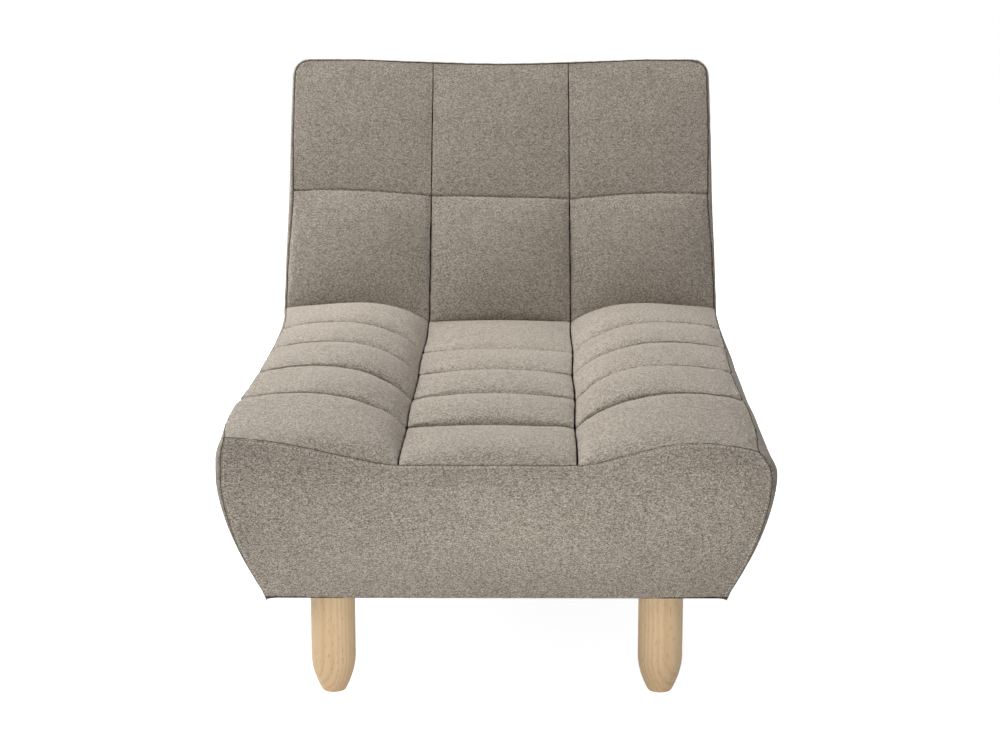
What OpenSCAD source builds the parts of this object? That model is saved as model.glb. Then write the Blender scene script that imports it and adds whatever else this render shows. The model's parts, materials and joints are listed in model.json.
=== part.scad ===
// Armless upholstered chaise longue on four turned legs.
// A timber box with zigzag springs carries a quilted seat whose sides are raised into bolsters.
// A leaning back frame is bolted to the box, and fabric boxing runs along each side of both.
// The origin is on the floor, below the middle of the overall width and depth, and the front faces -Y.

/* [Body] */
// Overall width, at the widest level of the sides
width = 790; // [750:5:850]
// From the front seam of the seat to the crease below the back
seat_length = 1020; // [960:5:1080]
// Height of the seams of the seat above the underside of the body
seat_rise = 207; // [200:1:225]
// From the crease to the rear foot of the body
tail_length = 108; // [100:1:130]
// How much narrower each side is at the underside than at the widest level
flare = 61; // [54:1:68]
// Height of the widest level above the underside
flare_rise = 182; // [174:1:190]
// How far the front panel bulges ahead of the front seam of the seat
front_bulge = 12; // [6:1:16]
// How far the lower edge of the front panel lies behind its bulge
front_rake = 50; // [30:1:56]
// Height of the bulge above the underside
bulge_rise = 170; // [150:1:180]

/* [Seat quilting] */
// Number of quilted rows, from the front edge to the crease
rows = 5; // [4:1:5]
// Length of the row at the front edge
row_first = 212; // [190:1:224]
// Length of each row behind it, while the last one takes what is left
row_pitch = 177; // [168:1:188]
// Width of the middle column, between its two lengthwise seams
column_w = 256; // [240:2:280]
// Rise of each padded cell in the middle column above its seams
cell_puff = 20; // [10:1:24]
// Rise of each padded cell on the bolsters above its seams
bolster_puff = 11; // [5:1:14]
// Height of the bolsters above the lengthwise seams
bolster_rise = 52; // [46:1:60]
// Height of the bolsters at the front edge
bolster_front = 37; // [30:1:44]
// Height of the bolsters at the crease
bolster_rear = 28; // [26:1:36]
// Length over which a bolster swells behind the front edge
bolster_swell = 260; // [200:5:320]
// Length over which a bolster sinks towards the crease
bolster_sink = 420; // [300:5:480]
// How far the side seam of the seat lies inside the widest level
seam_inset = 25; // [16:1:28]
// Thickness of the seat quilting at its seams
seat_quilt_t = 10; // [8:0.5:12]

/* [Back] */
// Lean of the back from upright, in degrees
recline = 33; // [28:0.5:36]
// Length of the back along its front, from the crease to the top seam
back_length = 534; // [504:2:564]
// Thickness of the back at its top
back_thickness = 118; // [114:1:130]
// Number of quilted rows up the back
back_rows = 2; // [2:1:3]
// Rise of each padded cell of the back above its seams
back_puff = 13; // [6:1:16]
// Thickness of the back quilting at its seams
back_quilt_t = 12; // [10:0.5:14]
// Radius of the two top corners
corner_r = 28; // [20:1:34]
// How far the seams along the edges of the back lie inside the widest level
back_inset = 6; // [3:0.5:9]

/* [Covers and padding] */
// Thickness of the cover fabric with its lining
cover_t = 2; // [1.5:0.1:2.5]
// Thickness of the padding under the side covers
side_foam_t = 12; // [8:1:14]
// Thickness of the foam of the back
back_foam_t = 45; // [36:1:46]
// Thickness of the hardboard behind the side padding and at the rear
hardboard_t = 3; // [2:0.2:4]
// Thickness of the felt on the springs
felt_t = 4; // [3:0.5:6]
// Thickness of the dust cover below the body
dust_t = 1.5; // [1:0.1:2]

/* [Frame] */
// Thickness of the frame boards
board = 25; // [22:0.5:27]
// Height of the boards of the box
rail_h = 110; // [100:1:114]
// Height of the cross boards below the springs
cross_h = 60; // [50:1:66]
// Room between the box and the underside edge of each side cover
side_pack = 30; // [25:1:34]
// Room between the box and the underside edge of the front cover
front_pack = 10; // [8:1:13]
// Thickness of the shaped formers outside the box
former_t = 18; // [12:1:20]
// Number of formers on each side
former_count = 5; // [4:1:5]
// Depth of the two posts of the back, front to rear
post_t = 30; // [26:0.5:30]
// Width of the boards across the back
back_board_w = 40; // [34:1:46]

/* [Legs] */
// Height of the legs below the body
leg_h = 160; // [140:1:190]
// Diameter of the legs
leg_d = 65; // [58:1:70]
// Diameter of the flat foot
foot_d = 36; // [30:1:44]
// Height of the tapered foot
taper_h = 52; // [40:1:60]
// From the widest level of each side to the axes of its legs
leg_side_inset = 156; // [152:1:160]
// From the front seam of the seat to the axis of the front legs
front_leg_inset = 98; // [92:1:106]
// From the rear foot of the body to the axis of the rear legs
rear_leg_inset = 48; // [46:1:60]

/* [Springs and fasteners] */
// Number of zigzag springs
spring_count = 6; // [4:1:7]
// Spacing of the springs
spring_pitch = 82; // [70:1:84]
// Width of one zigzag
spring_w = 46; // [40:1:52]
// Thickness of the spring wire
wire = 4; // [3:0.2:4.4]
// Length of one full wave of a spring
wave = 50; // [44:1:60]
// Number of webbing straps across the back
strap_count = 4; // [3:1:5]
// Width of one strap
strap_w = 50; // [40:1:60]
// Diameter of the bolt that holds each leg
leg_bolt_d = 10; // [8:0.5:12]
// Diameter of the bolts that hold the back
back_bolt_d = 8; // [6:0.5:9]
// Diameter of the wood screws
screw_d = 4.5; // [3.5:0.1:5]
// Length of the wood screws
screw_l = 60; // [50:1:66]
// Spacing of the staples round the dust cover
staple_pitch = 90; // [70:1:120]

/* [Hidden] */
$fn = 48;

taupe = [0.60, 0.56, 0.50];
taupe_dark = [0.52, 0.48, 0.43];
padding_colour = [0.93, 0.90, 0.80];
timber_colour = [0.80, 0.68, 0.48];
hardboard_colour = [0.50, 0.36, 0.24];
beech = [0.87, 0.73, 0.56];
steel = [0.66, 0.67, 0.69];
black_cloth = [0.13, 0.13, 0.14];

// Clearances: between a cover and its padding, beside a sewn edge, and between close pieces
skin_gap = 0.8;
seam_gap = 0.5;
fit_gap = 0.3;
// How far a bore or a cut runs past the faces that it opens
over = 1;

// Levels
z_base = leg_h;
z_frame = z_base + dust_t;
z_rail = z_frame + rail_h;
z_felt = z_rail + wire;
z_foam = z_felt + felt_t;
z_seat = z_base + seat_rise;
z_slab = z_seat - seat_quilt_t;
slab_lip = 27;
z_former = z_slab - slab_lip;
z_wide = z_base + flare_rise;
z_bulge = z_base + bulge_rise;

// Places along the depth, from the front bulge to the top of the back
depth = front_bulge + seat_length + back_length * sin(recline) + back_thickness * cos(recline);
y_front = -depth / 2;
y_seam = y_front + front_bulge;
y_crease = y_seam + seat_length;
y_tail = y_crease + tail_length;
y_toe = y_front + front_rake;
y_box = y_toe + front_pack;
leg_x = width / 2 - leg_side_inset;
front_leg_y = y_seam + front_leg_inset;
rear_leg_y = y_tail - rear_leg_inset;

// The box: its outer and inner faces, and the places of its boards
box_x = width / 2 - flare - side_pack;
inner_x = box_x - board;
spring_rail_gap = 7;
y_spring_rail = y_crease - board - spring_rail_gap;
cross_step = (y_spring_rail - y_box) / 3;
former_lead = 30;
former_tail = 28;
former_step = (y_spring_rail + board - former_tail - former_t - y_box - former_lead)
            / (former_count - 1);

// The side seam of the seat, which moves out to the edge of the back near the crease, how far down
// the side rounds below it, at the front corner and behind, and the shape of a bolster
x_seam = width / 2 - seam_inset;
inset_ease = 180;
seam_round = 80;
corner_round = 35;
corner_reach = 200;
front_inset = 7;
front_round = 40;
flare_power = 1.5;
bolster_crest = 0.68;
bolster_drop = 0.2;
foam_share = 0.9;

// The back: padding, boards and posts lie behind its front at these depths
strap_t = 2;
back_board_t = 25;
q_foam = back_quilt_t;
q_strap = q_foam + back_foam_t;
q_board = q_strap + strap_t;
q_post = q_board + back_board_t;
post_foot = 122;
post_w = 25;
stile_w = 25;
shoulder = back_length - corner_r;
lower_board_s = 36;

// The crease: the rear end of the seat leans back a little less than the back does
crease_gap = 7;
crease_lean = 0.32;

// Share of the back over which the rounding of its rear edge starts, the room between the side
// padding and the sheet at the rear, and how far the rounding of the back's edges reaches
rear_ease = 0.15;
rear_room = 5;
back_edge_round = 50;

// The legs' joints
block_x = 70;
block_y = 75;
block_h = 45;
bolt_in_leg = 30;
nut_h = 16;
nut_wall = 1;
nut_flange_d = 24;
nut_flange_t = 1.6;

// The joints of the back: how far below the crease its two bolts lie, set so that their nuts clear
// the corner blocks, and the bolts' own sizes
post_bolt_drops = [62, 98];
dome_t = 4;
bolt_tail = 10;
back_nut_t = 6.5;

// Staples
crown = 11;
staple_w = 1.2;
staple_t = 0.6;

function clamped(f) = max(0, min(1, f));
function mix(a, b, f) = a + (b - a) * f;
function eased(f) = let (g = clamped(f)) g * g * (3 - 2 * g);
function swell(f) = pow(max(0, 4 * f * (1 - f)), 0.6);

// Half the width of the body at a height: a boat-shaped side below its widest level
function half_at(z) = width / 2 - flare * pow(max(0, z_wide - z) / flare_rise, flare_power);

// Depth of the front panel's face at a height, where its top seam is at the height top
function front_at(z, top) =
    z < z_bulge ? y_front + front_rake * pow((z_bulge - z) / bulge_rise, 2)
                : y_front + front_bulge * pow((z - z_bulge) / (top - z_bulge), 2);

// Rows of the seat: where each starts, which one holds a length, and how far through it that is
function row_edge(k) = k <= 0 ? 0 : k >= rows ? seat_length : row_first + (k - 1) * row_pitch;
function row_of(v, k = 0) = k >= rows - 1 || v < row_edge(k + 1) ? k : row_of(v, k + 1);
function row_part(v) =
    let (k = row_of(v)) clamped((v - row_edge(k)) / (row_edge(k + 1) - row_edge(k)));

// Height of a bolster's crest above the seams at a length from the front seam
function bolster_at(v) =
    bolster_rise
    * (1 - (1 - bolster_front / bolster_rise) * pow(clamped(1 - v / bolster_swell), 2))
    * (1 - (1 - bolster_rear / bolster_rise)
           * pow(clamped((v - seat_length + bolster_sink) / bolster_sink), 2));

// Share of that height across a bolster, from the lengthwise seam (0) to the side seam (1)
function across(t) =
    t < bolster_crest ? sin(90 * pow(t / bolster_crest, 0.9))
                      : 1 - bolster_drop * pow((t - bolster_crest) / (1 - bolster_crest), 2.4);

function seat_middle_z(f, v) = z_seat + cell_puff * swell(row_part(v)) * swell(f);
function seat_side_z(t, v) =
    z_seat + bolster_at(v) * across(t) + bolster_puff * swell(row_part(v)) * swell(t);
function side_seam_z(v) = z_seat + bolster_at(v) * (1 - bolster_drop);
function front_seam_z(x) =
    abs(x) < column_w / 2 ? z_seat
        : seat_side_z((abs(x) - column_w / 2) / (x_seam - column_w / 2), 0);

// Side face of the seat at a height and a length from the front seam: it rounds in to the side
// seam above, and to the front panel by its distance behind that panel's face
function inset_at(v) =
    mix(seam_inset, back_inset, clamped((v - seat_length + inset_ease) / inset_ease));
function front_v(z) = front_at(z, side_seam_z(0)) - y_seam;
function round_at(v) = mix(corner_round, seam_round, eased(v / corner_reach));
function side_x(z, v) =
    half_at(z) - max(inset_at(v) * pow(clamped(1 - (side_seam_z(v) - z) / round_at(v)), 2),
                     front_inset * pow(clamped(1 - (v - front_v(z)) / front_round), 2));

// A point [y, z] of the back, s along its front from the crease and q behind that front
function back_at(s, q) = [y_crease + s * sin(recline) + q * cos(recline),
                          z_seat + s * cos(recline) - q * sin(recline)];

// The rear face runs straight from the top of the back to the rear foot of the body
rear_top = back_at(back_length, back_thickness);
rear_foot = [y_tail, z_base];
rear_lean = atan2(rear_top.x - rear_foot.x, rear_top.y - rear_foot.y);
rear_length = norm(rear_top - rear_foot);
function rear_y(z, inside) = y_tail + (z - z_base) * tan(rear_lean) - inside / cos(rear_lean);
y_rear_rail = rear_y(z_frame, cover_t + hardboard_t + 2 * fit_gap);

// Depth behind the front of the back at which the rear face lies
foot_s = (rear_foot.x - y_crease) * sin(recline) + (rear_foot.y - z_seat) * cos(recline);
foot_q = (rear_foot.x - y_crease) * cos(recline) - (rear_foot.y - z_seat) * sin(recline);
function rear_q(s) =
    back_thickness + (foot_q - back_thickness) * (back_length - s) / (back_length - foot_s);

// The crease as the side cover sees it, where the side seam meets the front of the back
side_crease_s = (side_seam_z(seat_length) - z_seat) / cos(recline);

// Side cover: a runs 0 to 1 along the seat and 1 to 2 up the back, t from outer edge to seam
function lower_edge(a) =
    a <= 1 ? [mix(y_toe, y_tail, a), z_base]
           : mix(rear_foot, back_at(shoulder, rear_q(shoulder)), a - 1);
function upper_edge(a) =
    a <= 1 ? [mix(y_seam, back_at(side_crease_s, 0).x, a), side_seam_z(seat_length * a)]
           : mix(back_at(side_crease_s, 0), back_at(shoulder, 0), a - 1);
function band_w(a) = norm(upper_edge(a) - lower_edge(a));
function side_yz(a, t) =
    let (p = mix(lower_edge(a), upper_edge(a), t),
         lead = front_at(p.y, side_seam_z(0)) - mix(y_toe, y_seam, t))
    a <= 1 ? [p.x + lead * pow(1 - a, 6), p.y] : p;
function back_round(a, t) =
    let (ease = clamped((a - 1) / rear_ease), d = band_w(a))
    back_inset * max(pow(clamped(1 - (1 - t) * d / back_edge_round), 2),
                     ease * pow(clamped(1 - t * d / back_edge_round), 2));
function side_point(a, t, inside) =
    let (p = side_yz(a, t))
    [(a <= 1 ? side_x(p.y, p.x - y_seam) : half_at(p.y) - back_round(a, t)) - inside, p.x, p.y];

// Stations for the grids: more where a surface bends
row_stations = concat([for (k = [0 : rows - 1], f = [0, 0.07, 0.22, 0.5, 0.78, 0.93])
                       mix(row_edge(k), row_edge(k + 1), f)], [seat_length]);
cell_stations = [0, 0.06, 0.2, 0.5, 0.8, 0.94, 1];
bolster_stations = [0, 0.05, 0.15, 0.3, 0.48, 0.66, 0.82, 0.94, 1];
band_stations = [0, 0.1, 0.2, 0.3, 0.4, 0.5, 0.6, 0.7, 0.77, 0.83, 0.88, 0.92, 0.96, 1];
seat_stations = [0, 0.01, 0.022, 0.04, 0.12, 0.25, 0.4, 0.55, 0.7, 0.82, 0.91, 1];
back_side_stations = [1.05, 1.1, 1.16, 1.22, 1.28, 1.34, 1.5, 1.75, 2];

// A closed solid between two grids of points, the first one facing out
module slab(near, far) {
    n = len(near);
    m = len(near[0]);
    loop = rim(n, m);
    count = n * m;
    polyhedron(
        points = concat([for (row = near, p = row) p], [for (row = far, p = row) p]),
        faces = concat(
            grid_faces(n, m),
            [for (f = grid_faces(n, m)) [for (k = [2, 1, 0]) f[k] + count]],
            [for (k = [0 : len(loop) - 1])
                let (a = loop[k], b = loop[(k + 1) % len(loop)])
                each [[a, b, b + count], [a, b + count, a + count]]]));
}

// A closed solid from a grid that faces out to a flat underside, given as the points that lie
// below the grid's first row and below its last row
module pad(grid, first_low, last_low) {
    n = len(grid);
    m = len(grid[0]);
    a = n * m;
    b = a + m;
    polyhedron(
        points = concat([for (row = grid, p = row) p], first_low, last_low),
        faces = concat(
            grid_faces(n, m),
            strip_faces(reversed([for (j = [0 : m - 1]) j]), reversed([for (j = [0 : m - 1]) a + j])),
            strip_faces([for (j = [0 : m - 1]) (n - 1) * m + j], [for (j = [0 : m - 1]) b + j]),
            strip_faces([for (j = [0 : m - 1]) b + j], [for (j = [0 : m - 1]) a + j]),
            fan_faces([for (i = [0 : n - 1]) i * m], a, b),
            fan_faces([for (i = [n - 1 : -1 : 0]) i * m + m - 1], b + m - 1, a + m - 1)));
}

// Faces between two chains of as many points, and between a chain and two points below its ends
function strip_faces(upper, lower) =
    [for (k = [0 : len(upper) - 2])
        each [[upper[k], upper[k + 1], lower[k + 1]], [upper[k], lower[k + 1], lower[k]]]];
function fan_faces(chain, low_first, low_last) =
    let (half = floor(len(chain) / 2))
    concat([for (k = [0 : len(chain) - 2])
                [chain[k], chain[k + 1], k < half ? low_first : low_last]],
           [[chain[half], low_last, low_first]]);

// Faces between two chains of any lengths, stepping along both at an even share
function share(k, from, to) = round(k * (to - 1) / (from - 1));
function zip_faces(a, b) =
    let (n = len(a), m = len(b))
    [for (k = [0 : n - 2])
        each concat([[a[k], a[k + 1], b[share(k, n, m)]]],
                    [for (j = [share(k, n, m) : 1 : share(k + 1, n, m) - 1])
                        [a[k + 1], b[j + 1], b[j]]])];
function reversed(list) = [for (k = [len(list) - 1 : -1 : 0]) list[k]];

function grid_faces(n, m) =
    [for (i = [0 : n - 2], j = [0 : m - 2])
        let (a = i * m + j)
        each [[a, a + 1, a + m + 1], [a, a + m + 1, a + m]]];

// The rim of a grid as one loop of point numbers
function rim(n, m) =
    concat([for (i = [0 : n - 1]) i * m], [for (j = [1 : m - 1]) (n - 1) * m + j],
           [for (i = [n - 2 : -1 : 0]) i * m + m - 1], [for (j = [m - 2 : -1 : 1]) j]);

// An upright shape with two rounded top corners, as a list of points
function round_top(half_w, low, high, r) =
    concat([[-half_w, low], [half_w, low]],
           [for (k = [0 : 8]) [half_w - r + r * cos(k * 11.25), high - r + r * sin(k * 11.25)]],
           [for (k = [0 : 8]) [r - half_w - r * sin(k * 11.25), high - r + r * cos(k * 11.25)]]);

// Local frames: Y runs up the back or the rear face, and Z stands out of it towards the front
module back_frame() {
    translate([0, y_crease, z_seat]) rotate([90 - recline, 0, 0]) children();
}
module rear_frame() {
    translate([0, y_tail, z_base]) rotate([90 - rear_lean, 0, 0]) children();
}
module both_sides() {
    children();
    mirror([1, 0, 0]) children();
}
module on_left() {
    mirror([1, 0, 0]) children();
}
module box(low, high) {
    translate(low) cube(high - low);
}
// A shape drawn in X and Z, made solid along Y
module across_y(y0, y1) {
    translate([0, y1, 0]) rotate([90, 0, 0]) linear_extrude(y1 - y0) children();
}
// A shape drawn in Y and Z, made solid along X
module across_x(x0, x1) {
    translate([x0, 0, 0]) rotate([90, 0, 90]) linear_extrude(x1 - x0) children();
}

// Legs
module leg(x, y) {
    steps = 8;
    taper_power = 1.8;
    foot_edge = 1.5;
    top_edge = 2;
    r_leg = leg_d / 2;
    color(beech) translate([x, y, 0]) difference() {
        rotate_extrude($fn = 72) polygon(concat(
            [[0, 0], [foot_d / 2 - foot_edge, 0]],
            [for (k = [0 : steps])
                let (f = k / steps)
                [r_leg - (r_leg - foot_d / 2) * pow(1 - f, taper_power), mix(foot_edge, taper_h, f)]],
            [[r_leg, leg_h - top_edge], [r_leg - top_edge, leg_h], [0, leg_h]]));
        translate([0, 0, leg_h - bolt_in_leg])
            cylinder(h = bolt_in_leg + over, d = leg_bolt_d + fit_gap);
    }
}
module leg_front_left() leg(-leg_x, front_leg_y);
module leg_front_right() leg(leg_x, front_leg_y);
module leg_rear_left() leg(-leg_x, rear_leg_y);
module leg_rear_right() leg(leg_x, rear_leg_y);
module at_legs() {
    for (x = [-leg_x, leg_x], y = [front_leg_y, rear_leg_y]) translate([x, y, 0]) children();
}
module leg_bolts() {
    end_gap = 1;
    bolt_low = leg_h - bolt_in_leg + end_gap;
    bolt_high = z_frame + block_h - end_gap;
    color(steel) at_legs()
        translate([0, 0, bolt_low]) cylinder(h = bolt_high - bolt_low, d = leg_bolt_d);
}
module leg_nuts() {
    z_nut = z_frame + block_h;
    color(steel) at_legs() difference() {
        union() {
            translate([0, 0, z_nut - nut_h]) cylinder(h = nut_h, d = leg_bolt_d + 2 * nut_wall);
            translate([0, 0, z_nut]) cylinder(h = nut_flange_t, d = nut_flange_d);
        }
        translate([0, 0, z_nut - nut_h - over])
            cylinder(h = nut_h + nut_flange_t + 2 * over, d = leg_bolt_d + 2 * fit_gap);
    }
}

// Timber box
module screw_bore(x, y, z, extra) {
    translate([x, y, z]) rotate([0, -90, 0]) cylinder(h = screw_l, d = screw_d + extra);
}
// Places [y, z] of the wood screws through each side rail: two for each board, two for each block
rail_screw_places = concat(
    [for (y = [y_box, y_spring_rail, y_rear_rail - board], f = [0.25, 0.75])
        [y + board / 2, z_frame + rail_h * f]],
    [for (k = [1, 2], f = [0.3, 0.7]) [y_box + k * cross_step + board / 2, z_frame + cross_h * f]]);
block_screw_y = 20;
block_places = [y_box + board, y_rear_rail - board - block_y];
block_screw_places = [for (f = [0.3, 0.7])
    each [[block_places[0] + block_y - block_screw_y, z_frame + block_h * f],
          [block_places[1] + block_screw_y, z_frame + block_h * f]]];
module screw_bores() {
    for (p = concat(rail_screw_places, block_screw_places)) screw_bore(box_x, p.x, p.y, fit_gap);
}
module frame_screws() {
    head_d = 9;
    head_t = 2.5;
    color(steel) both_sides() for (p = concat(rail_screw_places, block_screw_places)) {
        screw_bore(box_x, p.x, p.y, 0);
        translate([box_x, p.x, p.y]) rotate([0, 90, 0]) cylinder(h = head_t, d = head_d);
    }
}
// Places [y, z] of the two bolts through each post
post_bolt_places = [for (drop = post_bolt_drops) back_at(-drop, q_post + post_t / 2)];
module post_bolt_bores() {
    for (p = post_bolt_places)
        translate([inner_x - over, p.x, p.y]) rotate([0, 90, 0])
            cylinder(h = board + post_w + 2 * over, d = back_bolt_d + 2 * fit_gap);
}
module side_rail() {
    color(timber_colour) difference() {
        box([inner_x, y_box, z_frame], [box_x, y_rear_rail, z_rail]);
        screw_bores();
        post_bolt_bores();
    }
}
module side_rail_right() side_rail();
module side_rail_left() on_left() side_rail();
module cross_board(y, h) {
    color(timber_colour) difference() {
        box([-inner_x, y, z_frame], [inner_x, y + board, z_frame + h]);
        both_sides() screw_bores();
    }
}
module front_rail() cross_board(y_box, rail_h);
module rear_rail() cross_board(y_rear_rail - board, rail_h);
module spring_rail() cross_board(y_spring_rail, rail_h);
module cross_rail_1() cross_board(y_box + cross_step, cross_h);
module cross_rail_2() cross_board(y_box + 2 * cross_step, cross_h);
module corner_block(y0, leg_y) {
    color(timber_colour) difference() {
        box([inner_x - block_x, y0, z_frame], [inner_x, y0 + block_y, z_frame + block_h]);
        translate([leg_x, leg_y, z_frame - over])
            cylinder(h = block_h + 2 * over, d = leg_bolt_d + 2 * nut_wall + fit_gap);
        screw_bores();
    }
}
module corner_block_front_right() corner_block(block_places[0], front_leg_y);
module corner_block_front_left() on_left() corner_block_front_right();
module corner_block_rear_right() corner_block(block_places[1], rear_leg_y);
module corner_block_rear_left() on_left() corner_block_rear_right();

// Formers and hardboard that give the sides their flare; the formers start above the underside
former_foot = 14;
former_heights = [for (k = [0 : 10]) mix(z_frame + former_foot, z_former, k / 10)];
side_stack = cover_t + skin_gap + side_foam_t + skin_gap;
module side_formers() {
    back_off = side_stack + hardboard_t + fit_gap;
    color(timber_colour) for (k = [0 : former_count - 1])
        translate([0, y_box + former_lead + k * former_step, 0]) across_y(0, former_t)
            polygon(concat([[box_x, z_former], [box_x, z_frame + former_foot]],
                           [for (z = former_heights) [half_at(z) - back_off, z]]));
}
module side_formers_right() side_formers();
module side_formers_left() on_left() side_formers();
module side_board() {
    steps = 12;
    faces = [for (k = [0 : steps])
        let (z = mix(z_frame, z_former + slab_lip / 2, k / steps)) [half_at(z) - side_stack, z]];
    color(hardboard_colour) across_y(y_box + former_lead, y_spring_rail)
        polygon(concat(faces, [for (k = [steps : -1 : 0]) faces[k] - [hardboard_t, 0]]));
}
module side_board_right() side_board();
module side_board_left() on_left() side_board();

// Frame of the back
stile_x = width / 2 - side_stack;
module back_post() {
    low = back_at(-post_foot, q_post);
    color(timber_colour) difference() {
        across_x(box_x, box_x + post_w) polygon([
            low, back_at(-post_foot, q_post + post_t),
            back_at(shoulder, q_post + post_t), back_at(shoulder, q_post)]);
        post_bolt_bores();
    }
}
module back_post_right() back_post();
module back_post_left() on_left() back_post();
module back_board(x0, s0, x1, s1) {
    color(timber_colour) back_frame() box([x0, s0, -q_post], [x1, s1, -q_board]);
}
module back_stile_right() back_board(stile_x - stile_w, lower_board_s, stile_x, shoulder);
module back_stile_left() on_left() back_stile_right();
module back_rail(s0) back_board(stile_w - stile_x, s0, stile_x - stile_w, s0 + back_board_w);
module back_rail_lower() back_rail(lower_board_s);
module back_rail_middle() back_rail((lower_board_s + shoulder - back_board_w) / 2);
module back_rail_top() back_rail(shoulder - back_board_w);
module back_bolts() {
    color(steel) both_sides() for (p = post_bolt_places)
        translate([0, p.x, p.y]) rotate([0, 90, 0]) {
            translate([0, 0, inner_x - bolt_tail])
                cylinder(h = board + post_w + bolt_tail, d = back_bolt_d);
            translate([0, 0, box_x + post_w]) cylinder(h = dome_t, d = 2 * back_bolt_d);
        }
}
module back_nuts() {
    color(steel) both_sides() for (p = post_bolt_places)
        translate([inner_x - back_nut_t, p.x, p.y]) rotate([0, 90, 0]) difference() {
            cylinder(h = back_nut_t, d = 1.8 * back_bolt_d, $fn = 6);
            translate([0, 0, -over]) cylinder(h = back_nut_t + 2 * over, d = back_bolt_d + fit_gap);
        }
}
module back_straps() {
    strap_step = (shoulder - lower_board_s - strap_w) / (strap_count - 1);
    color(black_cloth) back_frame() for (k = [0 : strap_count - 1])
        translate([-stile_x, lower_board_s + k * strap_step, -q_board])
            cube([2 * stile_x, strap_w, strap_t]);
}

// Springs: each is one wire bent to and fro, with a straight bar at each end
spring_margin = 5;
spring_y0 = y_box + spring_margin;
spring_y1 = y_spring_rail + board - spring_margin;
bend_count = 2 * floor((spring_y1 - spring_y0) / wave);
bend_step = (spring_y1 - spring_y0 - wire) / bend_count;
// Two corners of the wire's outline at each link k, on its left hand (1) or its right hand (-1)
function link_corners(k, hand) =
    let (side = k % 2 == 0 ? 1 : -1, half = hand * wire / 2,
         x = side * (spring_w - wire) / 2 - half)
    [[x, k * bend_step + side * half], [x, (k + 1) * bend_step - side * half]];
module spring_outline() {
    reach = spring_w / 2;
    top = bend_count * bend_step;
    left_hand = [for (k = [0 : bend_count - 1]) each link_corners(k, 1)];
    right_hand = [for (k = [0 : bend_count - 1]) each link_corners(k, -1)];
    translate([0, wire / 2]) polygon(concat(
        [[-reach, wire / 2]], left_hand, [[reach, top + wire / 2], [reach, top - wire / 2]],
        [for (k = [len(right_hand) - 1 : -1 : 0]) right_hand[k]], [[-reach, -wire / 2]]));
}
module each_spring() {
    for (k = [0 : spring_count - 1])
        translate([(k - (spring_count - 1) / 2) * spring_pitch, 0, 0]) children();
}
module seat_springs() {
    color(steel) each_spring() translate([0, spring_y0, z_rail])
        linear_extrude(wire) spring_outline();
}
module spring_clips() {
    clip_w = 12;
    wall = 3;
    roof = 1.2;
    color(steel) each_spring() for (y = [spring_y0, spring_y1 - wire]) difference() {
        box([-clip_w / 2, y - fit_gap - wall, z_rail],
            [clip_w / 2, y + wire + fit_gap + wall, z_felt + fit_gap + roof]);
        box([-clip_w, y - fit_gap, z_rail - over], [clip_w, y + wire + fit_gap, z_felt + fit_gap]);
    }
}
module spring_felt() {
    edge = 5;
    color(taupe_dark)
        box([edge - inner_x, y_box + board, z_felt], [inner_x - edge, y_spring_rail, z_foam]);
}

// Foam of the seat
y_quilt = y_seam + cover_t + skin_gap;
lip_x = half_at(z_former) - side_stack - hardboard_t - 2 * fit_gap;
module seat_foam() {
    color(padding_colour) across_y(y_box, y_crease - crease_gap) polygon([
        [-box_x, z_foam], [box_x, z_foam], [box_x, z_former], [lip_x, z_former],
        [lip_x, z_slab], [-lip_x, z_slab], [-lip_x, z_former], [-box_x, z_former]]);
}
bolster_foam_h = foam_share * min(bolster_front, bolster_rear);
bolster_foam_lead = 10;
bolster_foam_x = column_w / 2 + bolster_foam_lead;
// Profile of a bolster's foam, from its foot to its outer face, as shares of its width and height
bolster_wedge = [[0, 0], [0.18, 0.36], [0.45, 0.72], [0.72, 0.95], [1, 1]];
function bolster_profile(gap) =
    concat([for (p = bolster_wedge) [mix(bolster_foam_x - gap, box_x + gap, p.x),
                                     z_slab + bolster_foam_h * p.y + (p.y > 0 ? gap : 0)]],
           [[box_x + gap, z_slab]]);
module bolster_foam_right() {
    color(padding_colour) across_y(y_quilt + fit_gap, y_crease - crease_gap - fit_gap)
        polygon(bolster_profile(0));
}
module bolster_foam_left() on_left() bolster_foam_right();

// Quilted seat: three strips sewn along the two lengthwise seams
function seat_y(v, z) =
    mix(y_quilt, y_crease - crease_gap + (z - z_slab) * crease_lean, v / seat_length);
function lowered(x) = [for (v = row_stations) [x, seat_y(v, z_slab), z_slab]];
module seat_quilt_middle() {
    reach = column_w / 2 - seam_gap / 2;
    grid = [for (f = cell_stations) [for (v = row_stations)
        let (z = seat_middle_z(f, v)) [mix(-reach, reach, f), seat_y(v, z), z]]];
    color(taupe) pad(grid, lowered(-reach), lowered(reach));
}
// A strip from a grid whose last row lies at the level of the slab, hollowed below by a profile
// [x, z] that runs from the foot of its first row to the slab beside its last row
module hollow_strip(grid, profile) {
    n = len(grid);
    m = len(grid[0]);
    count = n * m;
    last = len(profile) - 1;
    under = [for (p = profile, v = [0, seat_length]) [p.x, seat_y(v, p.y), p.y]];
    polyhedron(
        points = concat([for (row = grid, p = row) p], under),
        faces = concat(
            grid_faces(n, m),
            [for (k = [0 : last - 1])
                let (c = count + 2 * k)
                each [[c, c + 2, c + 3], [c, c + 3, c + 1]]],
            fan_faces([for (j = [m - 1 : -1 : 0]) j], count + 1, count),
            fan_faces([for (j = [0 : m - 1]) (n - 1) * m + j], count + 2 * last, count + 2 * last + 1),
            zip_faces([for (i = [0 : n - 1]) i * m], [for (k = [0 : last]) count + 2 * k]),
            zip_faces(reversed([for (i = [0 : n - 1]) i * m + m - 1]),
                      reversed([for (k = [0 : last]) count + 2 * k + 1]))));
}
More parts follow.
